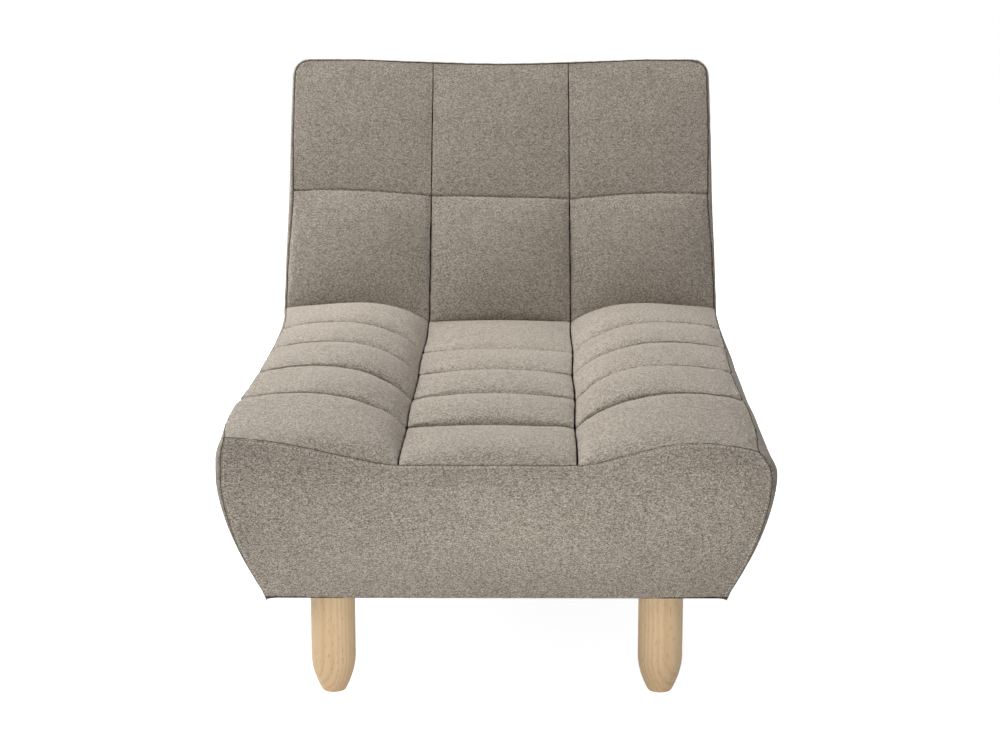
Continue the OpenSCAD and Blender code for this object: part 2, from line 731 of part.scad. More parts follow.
module seat_quilt_side() {
    inside = cover_t + skin_gap;
    x0 = column_w / 2 + seam_gap / 2;
    top = [for (t = bolster_stations) [for (v = row_stations)
        let (z = seat_side_z(t, v), seam_x = width / 2 - inset_at(v))
        [mix(x0, seam_x - inside, t), seat_y(v, z), z]]];
    flank = [for (k = [1 : 3]) [for (v = row_stations)
        let (z = mix(side_seam_z(v), z_slab, k / 3), y = seat_y(v, z))
        [side_x(z, y - y_seam) - inside, y, z]]];
    color(taupe) hollow_strip(concat(top, flank), concat([[x0, z_slab]], bolster_profile(fit_gap)));
}
module seat_quilt_right() seat_quilt_side();
module seat_quilt_left() on_left() seat_quilt_side();

// Quilted back: three strips, with the outer top corners rounded
quilt_top = back_length - cover_t - seam_gap;
quilt_edge = width / 2 - back_inset - cover_t - seam_gap;
quilt_r = corner_r - cover_t - seam_gap;
back_cell = quilt_top / back_rows;
lower_cells = [for (k = [0 : back_rows - 2], f = [0, 0.06, 0.2, 0.5, 0.8, 0.94])
               (k + f) * back_cell];
top_cell = [for (f = [0, 0.06, 0.2, 0.5, 0.75]) (back_rows - 1 + f) * back_cell];
corner_steps = [0, 22.5, 45, 67.5, 90];
back_stations = concat([for (s = concat(lower_cells, top_cell)) [s, quilt_edge]],
                       [for (a = corner_steps) [quilt_top - quilt_r + quilt_r * sin(a),
                                                quilt_edge - quilt_r + quilt_r * cos(a)]]);
function back_puff_at(f, s) =
    back_puff * swell(f) * swell(clamped(s / back_cell - floor(s / back_cell - 1e-6)));
function back_low(row) = [for (p = row) [p.x, p.y, -back_quilt_t]];
module back_strip(grid) {
    color(taupe_dark) back_frame() pad(grid, back_low(grid[0]), back_low(grid[len(grid) - 1]));
}
module back_quilt_middle() {
    reach = column_w / 2 - seam_gap / 2;
    grid = [for (f = cell_stations) [for (p = back_stations)
        [mix(-reach, reach, f), p.x, back_puff_at(f, p.x)]]];
    back_strip(grid);
}
module back_quilt_side() {
    x0 = column_w / 2 + seam_gap / 2;
    grid = [for (f = cell_stations) [for (p = back_stations)
        [mix(x0, p.y, f), p.x, back_puff_at(f, p.x)]]];
    back_strip(grid);
}
module back_quilt_right() back_quilt_side();
module back_quilt_left() on_left() back_quilt_side();

// Foam of the back
back_foam_foot = 18;
foam_top = back_length - cover_t - skin_gap;
foam_edge = width / 2 - back_inset - cover_t - skin_gap - side_foam_t;
foam_r = corner_r - cover_t - skin_gap;
module back_foam() {
    color(padding_colour) back_frame() translate([0, 0, -q_strap])
        linear_extrude(back_foam_t) polygon(round_top(foam_edge, -back_foam_foot, foam_top, foam_r));
}
module back_top_foam() {
    rear = rear_q(back_length) - cover_t - hardboard_t - 2 * skin_gap;
    color(padding_colour) back_frame() translate([0, 0, -rear])
        linear_extrude(rear - q_strap - fit_gap)
            polygon(round_top(foam_edge, shoulder, foam_top, foam_top - shoulder));
}

// Padding under the side covers: up to the slab of the seat, and up to the quilting of the back.
// Where the side rounds in, the cover squeezes the padding against the board by up to this much.
foam_inside = cover_t + skin_gap;
foam_squeeze = 4;
function seat_end_y(z) =
    let (f = (z - z_base) / (upper_edge(1).y - z_base)) mix(lower_edge(1).x, upper_edge(1).x, f);
function seat_foam_point(a, t, inside, squeeze = 0) =
    let (z = mix(z_frame, z_slab - fit_gap, t), y = mix(y_box + fit_gap, seat_end_y(z) - fit_gap, a),
         x = side_x(z, y - y_seam))
    [min(half_at(z), x + squeeze) - inside, y, z];
function back_foam_point(a, t, inside) =
    let (low = (cover_t + hardboard_t + rear_room) / band_w(a),
         high = 1 - (back_quilt_t + skin_gap) / mix(foot_q, rear_q(shoulder), a - 1))
    side_point(a, mix(low, high, t), inside);
module side_foam() {
    outer = [for (a = seat_stations) [for (t = band_stations) seat_foam_point(a, t, foam_inside)]];
    inner = [for (a = seat_stations) [for (t = band_stations)
        seat_foam_point(a, t, foam_inside + side_foam_t, foam_squeeze)]];
    color(padding_colour) slab(outer, inner);
}
module side_foam_right() side_foam();
module side_foam_left() on_left() side_foam();
module back_side_foam() {
    stations = concat([1.002], back_side_stations);
    outer = [for (a = stations) [for (t = band_stations) back_foam_point(a, t, foam_inside)]];
    inner = [for (a = stations) [for (t = band_stations)
        back_foam_point(a, t, foam_inside + side_foam_t)]];
    color(padding_colour) slab(outer, inner);
}
module back_side_foam_right() back_side_foam();
module back_side_foam_left() on_left() back_side_foam();

// Front panel: its cover and the foam behind it
function front_edge_x(z) = side_x(z, front_v(z)) - cover_t - seam_gap;
function front_point(x, z, inside) = [x, front_at(z, front_seam_z(x)) + inside, z];
half_us = [0.12, 0.3, 0.42, 0.56, 0.72, 0.87, 1];
front_us = concat([for (k = [len(half_us) - 1 : -1 : 0]) -half_us[k]], [0], half_us);
front_ws = [0, 0.12, 0.24, 0.36, 0.48, 0.6, 0.7, 0.78, 0.84, 0.89, 0.94, 1];
function cover_point(u, w, inside) =
    let (x = u * front_edge_x(mix(z_base, side_seam_z(0), w)))
    front_point(x, mix(z_base, front_seam_z(x), w), inside);
module front_cover() {
    outer = [for (u = front_us) [for (w = front_ws) cover_point(u, w, 0)]];
    inner = [for (u = front_us) [for (w = front_ws) cover_point(u, w, cover_t)]];
    color(taupe) slab(outer, inner);
}
function rear_of(row) = [for (p = row) [p.x, y_box, p.z]];
module front_foam() {
    grid = [for (u = front_us) [for (w = front_ws)
        let (z = mix(z_frame, z_slab - fit_gap, w))
        front_point(u * (front_edge_x(z) - fit_gap), z, cover_t + skin_gap)]];
    color(padding_colour) pad(grid, rear_of(grid[0]), rear_of(grid[len(grid) - 1]));
}

// Side and top covers
module side_cover() {
    stations = concat(seat_stations, back_side_stations);
    outer = [for (a = stations) [for (t = band_stations) side_point(a, t, 0)]];
    inner = [for (a = stations) [for (t = band_stations) side_point(a, t, cover_t)]];
    color(taupe) slab(outer, inner);
}
module side_cover_right() side_cover();
module side_cover_left() on_left() side_cover();
module top_cover() {
    color(taupe_dark) back_frame() translate([0, 0, cover_t - rear_q(back_length)])
        linear_extrude(rear_q(back_length) - cover_t) difference() {
            polygon(round_top(width / 2, shoulder + fit_gap, back_length, corner_r - fit_gap));
            polygon(round_top(width / 2 - cover_t, shoulder - over, back_length - cover_t,
                              corner_r - cover_t));
        }
}

// Rear face: fabric over a sheet of hardboard
function rear_outline(trim, low, high, r) =
    let (levels = [for (k = [0 : 8]) mix(low, flare_rise / cos(rear_lean), k / 8)],
         right = concat([for (p = levels) [half_at(z_base + p * cos(rear_lean)) - trim, p]],
                        [for (k = [0 : 6])
                            [width / 2 - trim - r + r * cos(15 * k), high - r + r * sin(15 * k)]]))
    concat(right, [for (k = [len(right) - 1 : -1 : 0]) [-right[k].x, right[k].y]]);
module rear_sheet(trim, inside, thick, low, high) {
    rear_frame() translate([0, 0, inside]) linear_extrude(thick)
        polygon(rear_outline(trim, low, high, corner_r - trim / 2));
}
rear_trim = back_inset + cover_t + seam_gap;
rear_board_edge = 2;
module rear_cover() {
    color(taupe_dark) rear_sheet(rear_trim, 0, cover_t, cover_t, rear_length - cover_t - seam_gap);
}
module rear_board() {
    color(hardboard_colour)
        rear_sheet(rear_trim + rear_board_edge, cover_t + fit_gap, hardboard_t,
                   2 * cover_t, rear_length - 3 * cover_t);
}

// Underside
module dust_cover() {
    edge = cover_t + seam_gap;
    half = half_at(z_base) - front_inset - edge;
    color(black_cloth) difference() {
        box([-half, y_toe + edge, z_base], [half, y_tail - edge, z_frame]);
        at_legs() translate([0, 0, z_base - over])
            cylinder(h = dust_t + 2 * over, d = leg_bolt_d + 2 * nut_wall);
    }
}
module staples() {
    y_first = y_box + leg_d / 2;
    y_count = floor((y_rear_rail - y_first) / staple_pitch);
    x_count = floor(2 * inner_x / staple_pitch);
    color(steel) translate([0, 0, z_base - staple_t]) {
        both_sides() for (k = [1 : y_count - 1])
            translate([box_x - board / 2 - crown / 2,
                       y_first + k * (y_rear_rail - y_first) / y_count, 0])
                cube([crown, staple_w, staple_t]);
        for (y = [y_box + board / 2, y_rear_rail - board / 2], k = [1 : x_count - 1])
            translate([k * 2 * inner_x / x_count - inner_x, y - crown / 2, 0])
                cube([staple_w, crown, staple_t]);
    }
}

leg_front_left();
leg_front_right();
leg_rear_left();
leg_rear_right();
leg_bolts();
leg_nuts();
corner_block_front_left();
corner_block_front_right();
corner_block_rear_left();
corner_block_rear_right();
side_rail_left();
side_rail_right();
front_rail();
rear_rail();
spring_rail();
cross_rail_1();
cross_rail_2();
frame_screws();
side_formers_left();
side_formers_right();
side_board_left();
side_board_right();
back_post_left();
back_post_right();
back_stile_left();
back_stile_right();
back_rail_lower();
back_rail_middle();
back_rail_top();
back_bolts();
back_nuts();
back_straps();
seat_springs();
spring_clips();
spring_felt();
seat_foam();
bolster_foam_left();
bolster_foam_right();
front_foam();
side_foam_left();
side_foam_right();
back_side_foam_left();
back_side_foam_right();
back_foam();
back_top_foam();
rear_board();
seat_quilt_left();
seat_quilt_middle();
seat_quilt_right();
back_quilt_left();
back_quilt_middle();
back_quilt_right();
side_cover_left();
side_cover_right();
front_cover();
top_cover();
rear_cover();
dust_cover();
staples();
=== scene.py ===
"""Looks of an armless upholstered chaise longue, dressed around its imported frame.

The covers, the quilted strips and the stitches are surfaces worked out with numpy, in metres and in
the frame of the model: +X is to the right, the foot end of the seat faces -Y, and +Z is up.
"""

import json
import logging
from dataclasses import dataclass, field
from enum import Enum

import bpy
import numpy as np
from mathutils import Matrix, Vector

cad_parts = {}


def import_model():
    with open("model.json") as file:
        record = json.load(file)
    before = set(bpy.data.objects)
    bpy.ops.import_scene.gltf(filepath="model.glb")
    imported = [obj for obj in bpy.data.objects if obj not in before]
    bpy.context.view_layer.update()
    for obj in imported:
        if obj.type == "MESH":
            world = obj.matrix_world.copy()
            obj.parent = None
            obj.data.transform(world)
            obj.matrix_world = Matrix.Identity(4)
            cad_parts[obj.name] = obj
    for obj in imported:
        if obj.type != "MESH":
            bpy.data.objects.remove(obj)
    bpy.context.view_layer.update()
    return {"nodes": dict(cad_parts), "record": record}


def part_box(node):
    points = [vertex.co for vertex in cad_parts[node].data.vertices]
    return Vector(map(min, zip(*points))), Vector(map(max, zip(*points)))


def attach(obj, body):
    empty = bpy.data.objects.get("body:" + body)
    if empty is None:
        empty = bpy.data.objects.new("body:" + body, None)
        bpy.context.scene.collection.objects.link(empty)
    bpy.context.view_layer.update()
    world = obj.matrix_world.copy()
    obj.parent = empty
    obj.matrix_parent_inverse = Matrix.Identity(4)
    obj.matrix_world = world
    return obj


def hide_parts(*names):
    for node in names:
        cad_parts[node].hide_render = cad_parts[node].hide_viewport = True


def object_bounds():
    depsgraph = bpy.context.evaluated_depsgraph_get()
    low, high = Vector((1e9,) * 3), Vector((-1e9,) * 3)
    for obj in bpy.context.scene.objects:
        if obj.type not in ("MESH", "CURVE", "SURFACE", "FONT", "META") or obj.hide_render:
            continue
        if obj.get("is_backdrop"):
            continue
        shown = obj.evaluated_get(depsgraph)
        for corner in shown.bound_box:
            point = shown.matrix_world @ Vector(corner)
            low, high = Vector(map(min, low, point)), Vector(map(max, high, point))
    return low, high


log = logging.getLogger("chaise")
ROOT = "root"
UP = (0.0, 0.0, 1.0)
TUBE_SIDES = 6
THREAD = 0.0008
WEFT_RUN, WARP_RUN = 2.5, 1.0
WHITE = (1.0, 1.0, 1.0, 1.0)
SLUB, CLOUD = (120.0, 520.0, 1.0), (7.0, 11.0, 1.0)


class Side(Enum):
    """One half of the chaise, by the sign of its X."""

    LEFT = -1
    RIGHT = 1

    @property
    def word(self) -> str:
        """The side's name as pieces and nodes spell it."""
        return self.name.lower()


class Edge(Enum):
    """An edge of a grid surface."""

    FIRST_ROW = 0
    LAST_ROW = 1
    FIRST_COLUMN = 2
    LAST_COLUMN = 3


def mix(a: np.ndarray, b: np.ndarray, f: np.ndarray) -> np.ndarray:
    """The value a share f of the way from a to b."""
    return a + (b - a) * f


def clamped(f: np.ndarray) -> np.ndarray:
    """f held between 0 and 1."""
    return np.clip(f, 0.0, 1.0)


def eased(f: np.ndarray) -> np.ndarray:
    """A smooth step: 3 f^2 - 2 f^3 of the held value."""
    f = clamped(f)
    return f * f * (3.0 - 2.0 * f)


def pillow(f: np.ndarray, power: float) -> np.ndarray:
    """Height of a stuffed cell across it: (4 f (1 - f)) to a power, which is 1 at the middle."""
    f = clamped(f)
    return np.power(np.maximum(4.0 * f * (1.0 - f), 0.0), power)


def clustered(count: int, bias: float = 0.72) -> np.ndarray:
    """Stations from 0 to 1 that lie closer at both ends.

    Args:
        count: number of stations.
        bias: 0 for even steps, towards 1 for steps that shrink to nothing at the ends.

    Returns:
        g - bias sin(2 pi g) / (2 pi) for even g.
    """
    g = np.linspace(0.0, 1.0, count)
    return g - bias * np.sin(2.0 * np.pi * g) / (2.0 * np.pi)


def joined_stations(edges: np.ndarray, counts: list[int], bias: float = 0.72) -> np.ndarray:
    """Clustered stations through several spans, each edge given once.

    Args:
        edges: ends of the spans, in order.
        counts: number of stations of each span.
        bias: as for clustered.

    Returns:
        All stations in order.
    """
    spans = [mix(a, b, clustered(n, bias))[:-1] for a, b, n in zip(edges[:-1], edges[1:], counts)]
    return np.concatenate(spans + [np.array([edges[-1]])])


def wander(at: np.ndarray, pitch: float, seed: int) -> np.ndarray:
    """Smooth noise along a line: cubic-eased steps between random values from -1 to 1.

    Args:
        at: places along the line, in metres.
        pitch: distance between the random values, in metres.
        seed: which values.

    Returns:
        The noise at each place.
    """
    values = np.random.default_rng(seed).uniform(-1.0, 1.0, 4096)
    place = np.asarray(at) / pitch + 2048.0
    low = np.floor(place).astype(int)
    return mix(values[low % 4096], values[(low + 1) % 4096], eased(place - low))


def ripple(u: np.ndarray, v: np.ndarray, pitch: float, seed: int) -> np.ndarray:
    """Smooth noise over a surface: a sum of twelve sine waves in random directions.

    Args:
        u: first place of each point, in metres.
        v: second place of each point, in metres.
        pitch: mean wavelength, in metres.
        seed: which waves.

    Returns:
        The noise, about -1 to 1.
    """
    rng = np.random.default_rng(seed)
    waves = 12
    total = np.zeros(np.broadcast(u, v).shape)
    for angle, turn, share in zip(rng.uniform(0, np.pi, waves), rng.uniform(0, 2 * np.pi, waves),
                                  rng.uniform(0.7, 1.5, waves)):
        along = (u * np.cos(angle) + v * np.sin(angle)) * 2.0 * np.pi / (pitch * share)
        total += np.sin(along + turn)
    return total / np.sqrt(waves)


def through(at: np.ndarray, points: tuple[tuple[float, float], ...], spread: float) -> np.ndarray:
    """A smooth line near a few points.

    Args:
        at: where to read it.
        points: places in order, each with its value.
        spread: how far its bends reach, in metres.

    Returns:
        The mean of nine straight-line readings within the spread on both sides of each place.
    """
    places, values = zip(*points)
    shifts = np.linspace(-spread, spread, 9)
    return np.mean([np.interp(np.asarray(at) + shift, places, values) for shift in shifts], axis=0)


@dataclass(frozen=True)
class Form:
    """The sewn outside form that every cover follows. Lengths are in metres, angles in degrees."""

    width: float
    y_front: float
    z_base: float
    # the boat-shaped body and its front
    flare: float = 0.061
    flare_rise: float = 0.182
    flare_power: float = 1.5
    front_bulge: float = 0.012
    front_rake: float = 0.050
    bulge_rise: float = 0.170
    # the seat: its rows, its three columns and the bolsters
    seat_length: float = 1.020
    seat_rise: float = 0.207
    tail_length: float = 0.108
    row_count: int = 5
    row_first: float = 0.212
    row_pitch: float = 0.177
    column_w: float = 0.256
    bolster_rise: float = 0.052
    bolster_front: float = 0.037
    bolster_rear: float = 0.028
    bolster_swell: float = 0.260
    bolster_sink: float = 0.420
    bolster_crest: float = 0.68
    bolster_drop: float = 0.20
    # how unevenly its seams were sewn: drifts, corners, and insets at lengths from the front seam
    left_drift: float = 0.009
    right_drift: float = 0.015
    seam_jog: float = 0.0012
    right_front: float = 0.031
    right_front_crest: float = 0.64
    right_front_fall: float = 0.0134
    left_insets: tuple = ((0.0, 0.0166), (0.05, 0.0085), (0.15, 0.0085), (0.25, 0.0175),
                          (0.40, 0.0230), (0.72, 0.0275), (0.86, 0.0195), (1.02, 0.0050))
    right_insets: tuple = ((0.0, 0.0290), (0.09, 0.0230), (0.20, 0.0310), (0.34, 0.0330),
                           (0.55, 0.0257), (0.83, 0.0160), (1.02, 0.0045))
    # how the sides round in to the seams
    corner_reach: float = 0.200
    seam_round: float = 0.080
    corner_round: float = 0.036
    front_inset: float = 0.010
    front_round: float = 0.032
    # the back
    recline: float = 33.0
    back_length: float = 0.534
    back_thickness: float = 0.118
    corner_r: float = 0.028
    back_inset: float = 0.006
    rear_ease: float = 0.15
    back_edge_round: float = 0.050
    boxing_roll: float = 0.0034
    boxing_in: float = 0.0025
    boxing_ease: float = 0.0008
    seam_reach: float = 0.013
    top_sag: float = 0.0102
    top_sag_reach: float = 0.27
    sag_reach: float = 0.030
    top_stretch: float = 0.004
    waist: float = 0.005
    waist_level: float = 0.25
    waist_reach: float = 0.09
    belly: float = 0.009

    @classmethod
    def from_frame(cls) -> "Form":
        """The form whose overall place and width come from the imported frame."""
        low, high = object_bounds()
        return cls(width=high.x - low.x, y_front=low.y, z_base=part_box("leg_front_left")[1].z)

    @property
    def half(self) -> float:
        """Half the overall width."""
        return self.width / 2.0

    @property
    def z_seat(self) -> float:
        """Level of the seat's seams."""
        return self.z_base + self.seat_rise

    @property
    def z_wide(self) -> float:
        """Level at which the body is widest."""
        return self.z_base + self.flare_rise

    @property
    def y_seam(self) -> float:
        """Place of the seam along the front of the seat."""
        return self.y_front + self.front_bulge

    @property
    def y_crease(self) -> float:
        """Place of the crease below the back."""
        return self.y_seam + self.seat_length

    @property
    def y_tail(self) -> float:
        """Place of the rear foot of the body."""
        return self.y_crease + self.tail_length

    @property
    def row_edges(self) -> np.ndarray:
        """Lengths from the front seam at which the rows of the seat begin and end."""
        inner = self.row_first + self.row_pitch * np.arange(self.row_count - 1)
        return np.concatenate([[0.0], inner, [self.seat_length]])

    @property
    def lean(self) -> tuple[float, float]:
        """Sine and cosine of the back's lean from upright."""
        return float(np.sin(np.radians(self.recline))), float(np.cos(np.radians(self.recline)))

    def half_at(self, z: np.ndarray) -> np.ndarray:
        """Half the body's width at a level: a power curve below the widest level."""
        below = np.maximum(self.z_wide - z, 0.0) / self.flare_rise
        return self.half - self.flare * below ** self.flare_power

    def front_at(self, z: np.ndarray, top: np.ndarray) -> np.ndarray:
        """Depth of the front panel at a level: two parabolas that meet at the bulge.

        Args:
            z: levels.
            top: level of the panel's top seam at each point.

        Returns:
            The Y of each point.
        """
        z_bulge = self.z_base + self.bulge_rise
        lower = self.front_rake * ((z_bulge - z) / self.bulge_rise) ** 2
        upper = self.front_bulge * ((z - z_bulge) / (top - z_bulge)) ** 2
        return self.y_front + np.where(z < z_bulge, lower, upper)

    def row_share(self, v: np.ndarray) -> tuple[np.ndarray, np.ndarray]:
        """Which row of the seat holds each length, and how far through that row it is."""
        edges = self.row_edges
        row = np.clip(np.searchsorted(edges, v, side="right") - 1, 0, self.row_count - 1)
        return row, clamped((v - edges[row]) / (edges[row + 1] - edges[row]))

    def bolster_at(self, v: np.ndarray) -> np.ndarray:
        """Height of a bolster's crest above the seams: it swells from the front, sinks to the crease."""
        swell = 1.0 - (1.0 - self.bolster_front / self.bolster_rise) * clamped(
            1.0 - v / self.bolster_swell) ** 2
        sink = 1.0 - (1.0 - self.bolster_rear / self.bolster_rise) * clamped(
            (v - self.seat_length + self.bolster_sink) / self.bolster_sink) ** 2
        return self.bolster_rise * swell * sink

    def across(self, t: np.ndarray) -> np.ndarray:
        """Share of a bolster's height across it: a sine up to its crest, then a falling power curve."""
        up = np.sin(0.5 * np.pi * np.power(clamped(t / self.bolster_crest), 0.9))
        down = 1.0 - self.bolster_drop * clamped((t - self.bolster_crest) / (1 - self.bolster_crest)) ** 2.4
        return np.where(t < self.bolster_crest, up, down)

    def column_seam(self, v: np.ndarray, side: Side) -> np.ndarray:
        """X of a lengthwise seam of the seat, which was sewn a little askew towards the foot end."""
        front = 1.0 - v / self.seat_length
        drift = self.left_drift * front ** 1.6 if side is Side.LEFT else self.right_drift * front
        jog = self.seam_jog * np.sin(2.0 * np.pi * v / (2.0 * self.row_pitch) + side.value)
        return side.value * self.column_w / 2.0 - drift + jog * clamped(4.0 * (1.0 - front))

    def inset_at(self, v: np.ndarray, side: Side) -> np.ndarray:
        """How far a side seam lies inside the widest level, at a length from the front seam."""
        return through(v, self.left_insets if side is Side.LEFT else self.right_insets, 0.03)

    def front_rise(self, t: np.ndarray, side: Side) -> np.ndarray:
        """Height of the front seam above the seat's level, across an outer strip.

        Args:
            t: shares from the lengthwise seam to the side seam.
            side: which side. The left corner was sewn higher than the right one.

        Returns:
            An eased step up to a crest, and on the right a fall from it to the corner.
        """
        t = clamped(t)
        if side is Side.LEFT:
            return self.bolster_front * eased(t ** 0.8)
        fall = self.right_front_fall * clamped((t - 0.66) / 0.34) ** 2
        return self.right_front * eased((t / self.right_front_crest) ** 0.9) - fall

    def bolster_rise_at(self, t: np.ndarray, v: np.ndarray, side: Side) -> np.ndarray:
        """Height of an outer strip above the seat's level: its front seam's shape, eased to a bolster's."""
        return mix(self.front_rise(t, side), self.bolster_at(v) * self.across(t),
                   eased(v / self.corner_reach))

    def side_seam_z(self, v: np.ndarray, side: Side) -> np.ndarray:
        """Level of the seat's side seam."""
        return self.z_seat + self.bolster_rise_at(np.array(1.0), v, side)

    def front_seam_z(self, x: np.ndarray) -> np.ndarray:
        """Level of the seam along the front of the seat.

        Args:
            x: places across the seat.

        Returns:
            The seat's level plus the rise of both outer strips.
        """
        rise = np.zeros_like(x)
        start = np.array(0.0)
        for side in Side:
            inner = self.column_seam(start, side) * side.value
            outer = self.half - self.inset_at(start, side)
            rise += self.front_rise((x * side.value - inner) / (outer - inner), side)
        return self.z_seat + rise

    def front_plan(self, x: np.ndarray) -> np.ndarray:
        """How far the front stands out from a straight one: a cubic curve over half the width."""
        return -self.belly * (1.0 - (np.abs(x) / self.half) ** 3)

    def side_x(self, z: np.ndarray, v: np.ndarray, side: Side) -> np.ndarray:
        """How far the seat's side lies from the middle.

        Args:
            z: levels.
            v: lengths behind the front seam.
            side: which side.

        Returns:
            Half the body's width, rounded in as parabolas: to the side seam above, and to the front
            panel by the distance behind that panel's face.
        """
        seam = self.side_seam_z(v, side)
        reach = mix(self.corner_round, self.seam_round, eased(v / self.corner_reach))
        face = self.front_at(z, self.side_seam_z(np.array(0.0), side)) - self.y_seam
        low = mix(0.5, 1.0, clamped((z - self.z_base) / self.flare_rise))
        ahead = self.front_inset * low * clamped(1.0 - (v - face) / self.front_round) ** 2
        above = clamped(1.0 - (seam - z) / reach) ** 2
        return self.half_at(z) - ahead - np.maximum(self.inset_at(v, side) - ahead, 0.0) * above

    def waist_at(self, s: np.ndarray) -> np.ndarray:
        """How far the cross seam draws the edges of the back in, at a height up the back."""
        return self.waist * np.exp(-((s - self.waist_level) / self.waist_reach) ** 2)

    def on_back(self, s: np.ndarray, q: np.ndarray) -> tuple[np.ndarray, np.ndarray]:
        """Y and Z of a point of the back, s up its front from the crease and q behind that front."""
        sin, cos = self.lean
        return self.y_crease + s * sin + q * cos, self.z_seat + s * cos - q * sin

    @property
    def rear_foot(self) -> np.ndarray:
        """Y and Z of the rear foot of the body."""
        return np.array([self.y_tail, self.z_base])

    @property
    def rear_top(self) -> np.ndarray:
        """Y and Z of the rear edge of the back's top."""
        return np.array(self.on_back(self.back_length, self.back_thickness))

    def rear_q(self, s: np.ndarray) -> np.ndarray:
        """Depth behind the front of the back at which the rear face lies."""
        sin, cos = self.lean
        y, z = self.rear_foot - np.array([self.y_crease, self.z_seat])
        foot_s, foot_q = y * sin + z * cos, y * cos - z * sin
        rise = (self.back_length - s) / (self.back_length - foot_s)
        return self.back_thickness + (foot_q - self.back_thickness) * rise

    def top_drop(self, x: np.ndarray) -> np.ndarray:
        """How far the top edge of the back sags below its ends."""
        return self.top_sag * (1.0 - clamped(np.abs(x) / self.top_sag_reach) ** 1.3)

    def top_rise(self, x: np.ndarray, q: np.ndarray) -> np.ndarray:
        """Height of the back's top above its plain level. The sag of its front edge fades behind it."""
        return self.top_stretch - self.top_drop(x) * clamped(1.0 - q / self.sag_reach) ** 1.5


def normals_of(points: np.ndarray) -> np.ndarray:
    """Unit normals of a grid surface: its two directions' cross product at every point."""
    along = np.gradient(points, axis=0)
    over = np.gradient(points, axis=1)
    normal = np.cross(over, along)
    size = np.linalg.norm(normal, axis=2, keepdims=True)
    return normal / np.maximum(size, 1e-12)


def lengths_along(points: np.ndarray, axis: int) -> np.ndarray:
    """Distance of every point from the start of its grid line, measured along the line."""
    steps = np.linalg.norm(np.diff(points, axis=axis), axis=2)
    total = np.cumsum(steps, axis=axis)
    start = np.zeros_like(np.take(total, [0], axis=axis))
    return np.concatenate([start, total], axis=axis)


def facing(points: np.ndarray, toward: tuple[float, float, float]) -> np.ndarray:
    """Normals of a grid surface, all turned so that on the whole they face a direction."""
    normal = normals_of(points)
    return normal * np.sign(np.sum(normal @ np.array(toward)))


def run_of(line: np.ndarray) -> np.ndarray:
    """Distance of every point of a line from its start."""
    return lengths_along(line[:, None], 0)[:, 0]


def read_line(at: np.ndarray, run: np.ndarray, line: np.ndarray) -> np.ndarray:
    """Points, or normals, at distances along a line whose own points lie at the distances of its run."""
    return np.stack([np.interp(at, run, line[:, axis]) for axis in range(3)], -1)


def grid_quads(rows: int, columns: int) -> np.ndarray:
    """The quads of a grid, one row of four vertex numbers each."""
    index = np.arange(rows * columns).reshape(rows, columns)
    return np.stack([index[:-1, :-1], index[:-1, 1:], index[1:, 1:], index[1:, :-1]], -1).reshape(-1, 4)


def tube_quads(rings: int) -> np.ndarray:
    """The quads of a closed tube.

    Args:
        rings: number of its six-sided rings.

    Returns:
        The walls between the rings, and two quads over each end.
    """
    ring = np.arange(rings * TUBE_SIDES).reshape(rings, TUBE_SIDES)
    after = np.roll(ring, -1, axis=1)
    walls = np.stack([ring[:-1], after[:-1], after[1:], ring[1:]], -1).reshape(-1, 4)
    first, last = ring[0], ring[-1]
    ends = [first[[0, 5, 4, 1]], first[[1, 4, 3, 2]], last[[0, 1, 4, 5]], last[[1, 2, 3, 4]]]
    return np.concatenate([walls, ends])


def edge_distance(points: np.ndarray, edge: Edge) -> np.ndarray:
    """Distance of every point from an edge of its grid, along the grid lines."""
    axis = 0 if edge in (Edge.FIRST_ROW, Edge.LAST_ROW) else 1
    length = lengths_along(points, axis)
    if edge in (Edge.FIRST_ROW, Edge.FIRST_COLUMN):
        return length
    return np.take(length, [-1], axis=axis) - length


def nearest_edge(points: np.ndarray, *edges: Edge) -> np.ndarray:
    """Distance of every point from the nearest of some edges of its grid, or of all four."""
    return np.min([edge_distance(points, edge) for edge in edges or Edge], axis=0)


def roll_depth(distance: np.ndarray, radius: float) -> np.ndarray:
    """How far a surface turns in towards a seam: a quarter circle within its radius."""
    gap = np.clip(radius - distance, 0.0, radius)
    return radius - np.sqrt(np.maximum(radius ** 2 - gap ** 2, 0.0))


@dataclass
class Sewing:
    """How a cover lies beside its seams: the rolled edge and the puckers that the thread draws."""

    roll: float = 0.0035
    pucker: float = 0.0005
    reach: float = 0.011
    pitch: float = 0.009

    def shape(self, points: np.ndarray, outward: np.ndarray, edges: list[Edge], seed: int) -> np.ndarray:
        """Turns a panel's edges in to their seams.

        Args:
            points: the panel's outer surface, as a grid of points.
            outward: its outward normals.
            edges: the sewn edges.
            seed: which puckers.

        Returns:
            The points, each moved in along its normal by the deepest of the rolls, and moved by the
            puckers, which fade with the distance from the seam.
        """
        depth = np.zeros(points.shape[:2])
        lift = np.zeros(points.shape[:2])
        for order, edge in enumerate(edges):
            distance = edge_distance(points, edge)
            line = lengths_along(points, 1 if edge in (Edge.FIRST_ROW, Edge.LAST_ROW) else 0)
            depth = np.maximum(depth, roll_depth(distance, self.roll))
            draw = wander(line, self.pitch, seed + order) + 0.6 * wander(line, 2.3 * self.pitch, seed + 50)
            lift += self.pucker * draw * np.exp(-distance / self.reach)
        return points + outward * (lift - depth)[..., None]


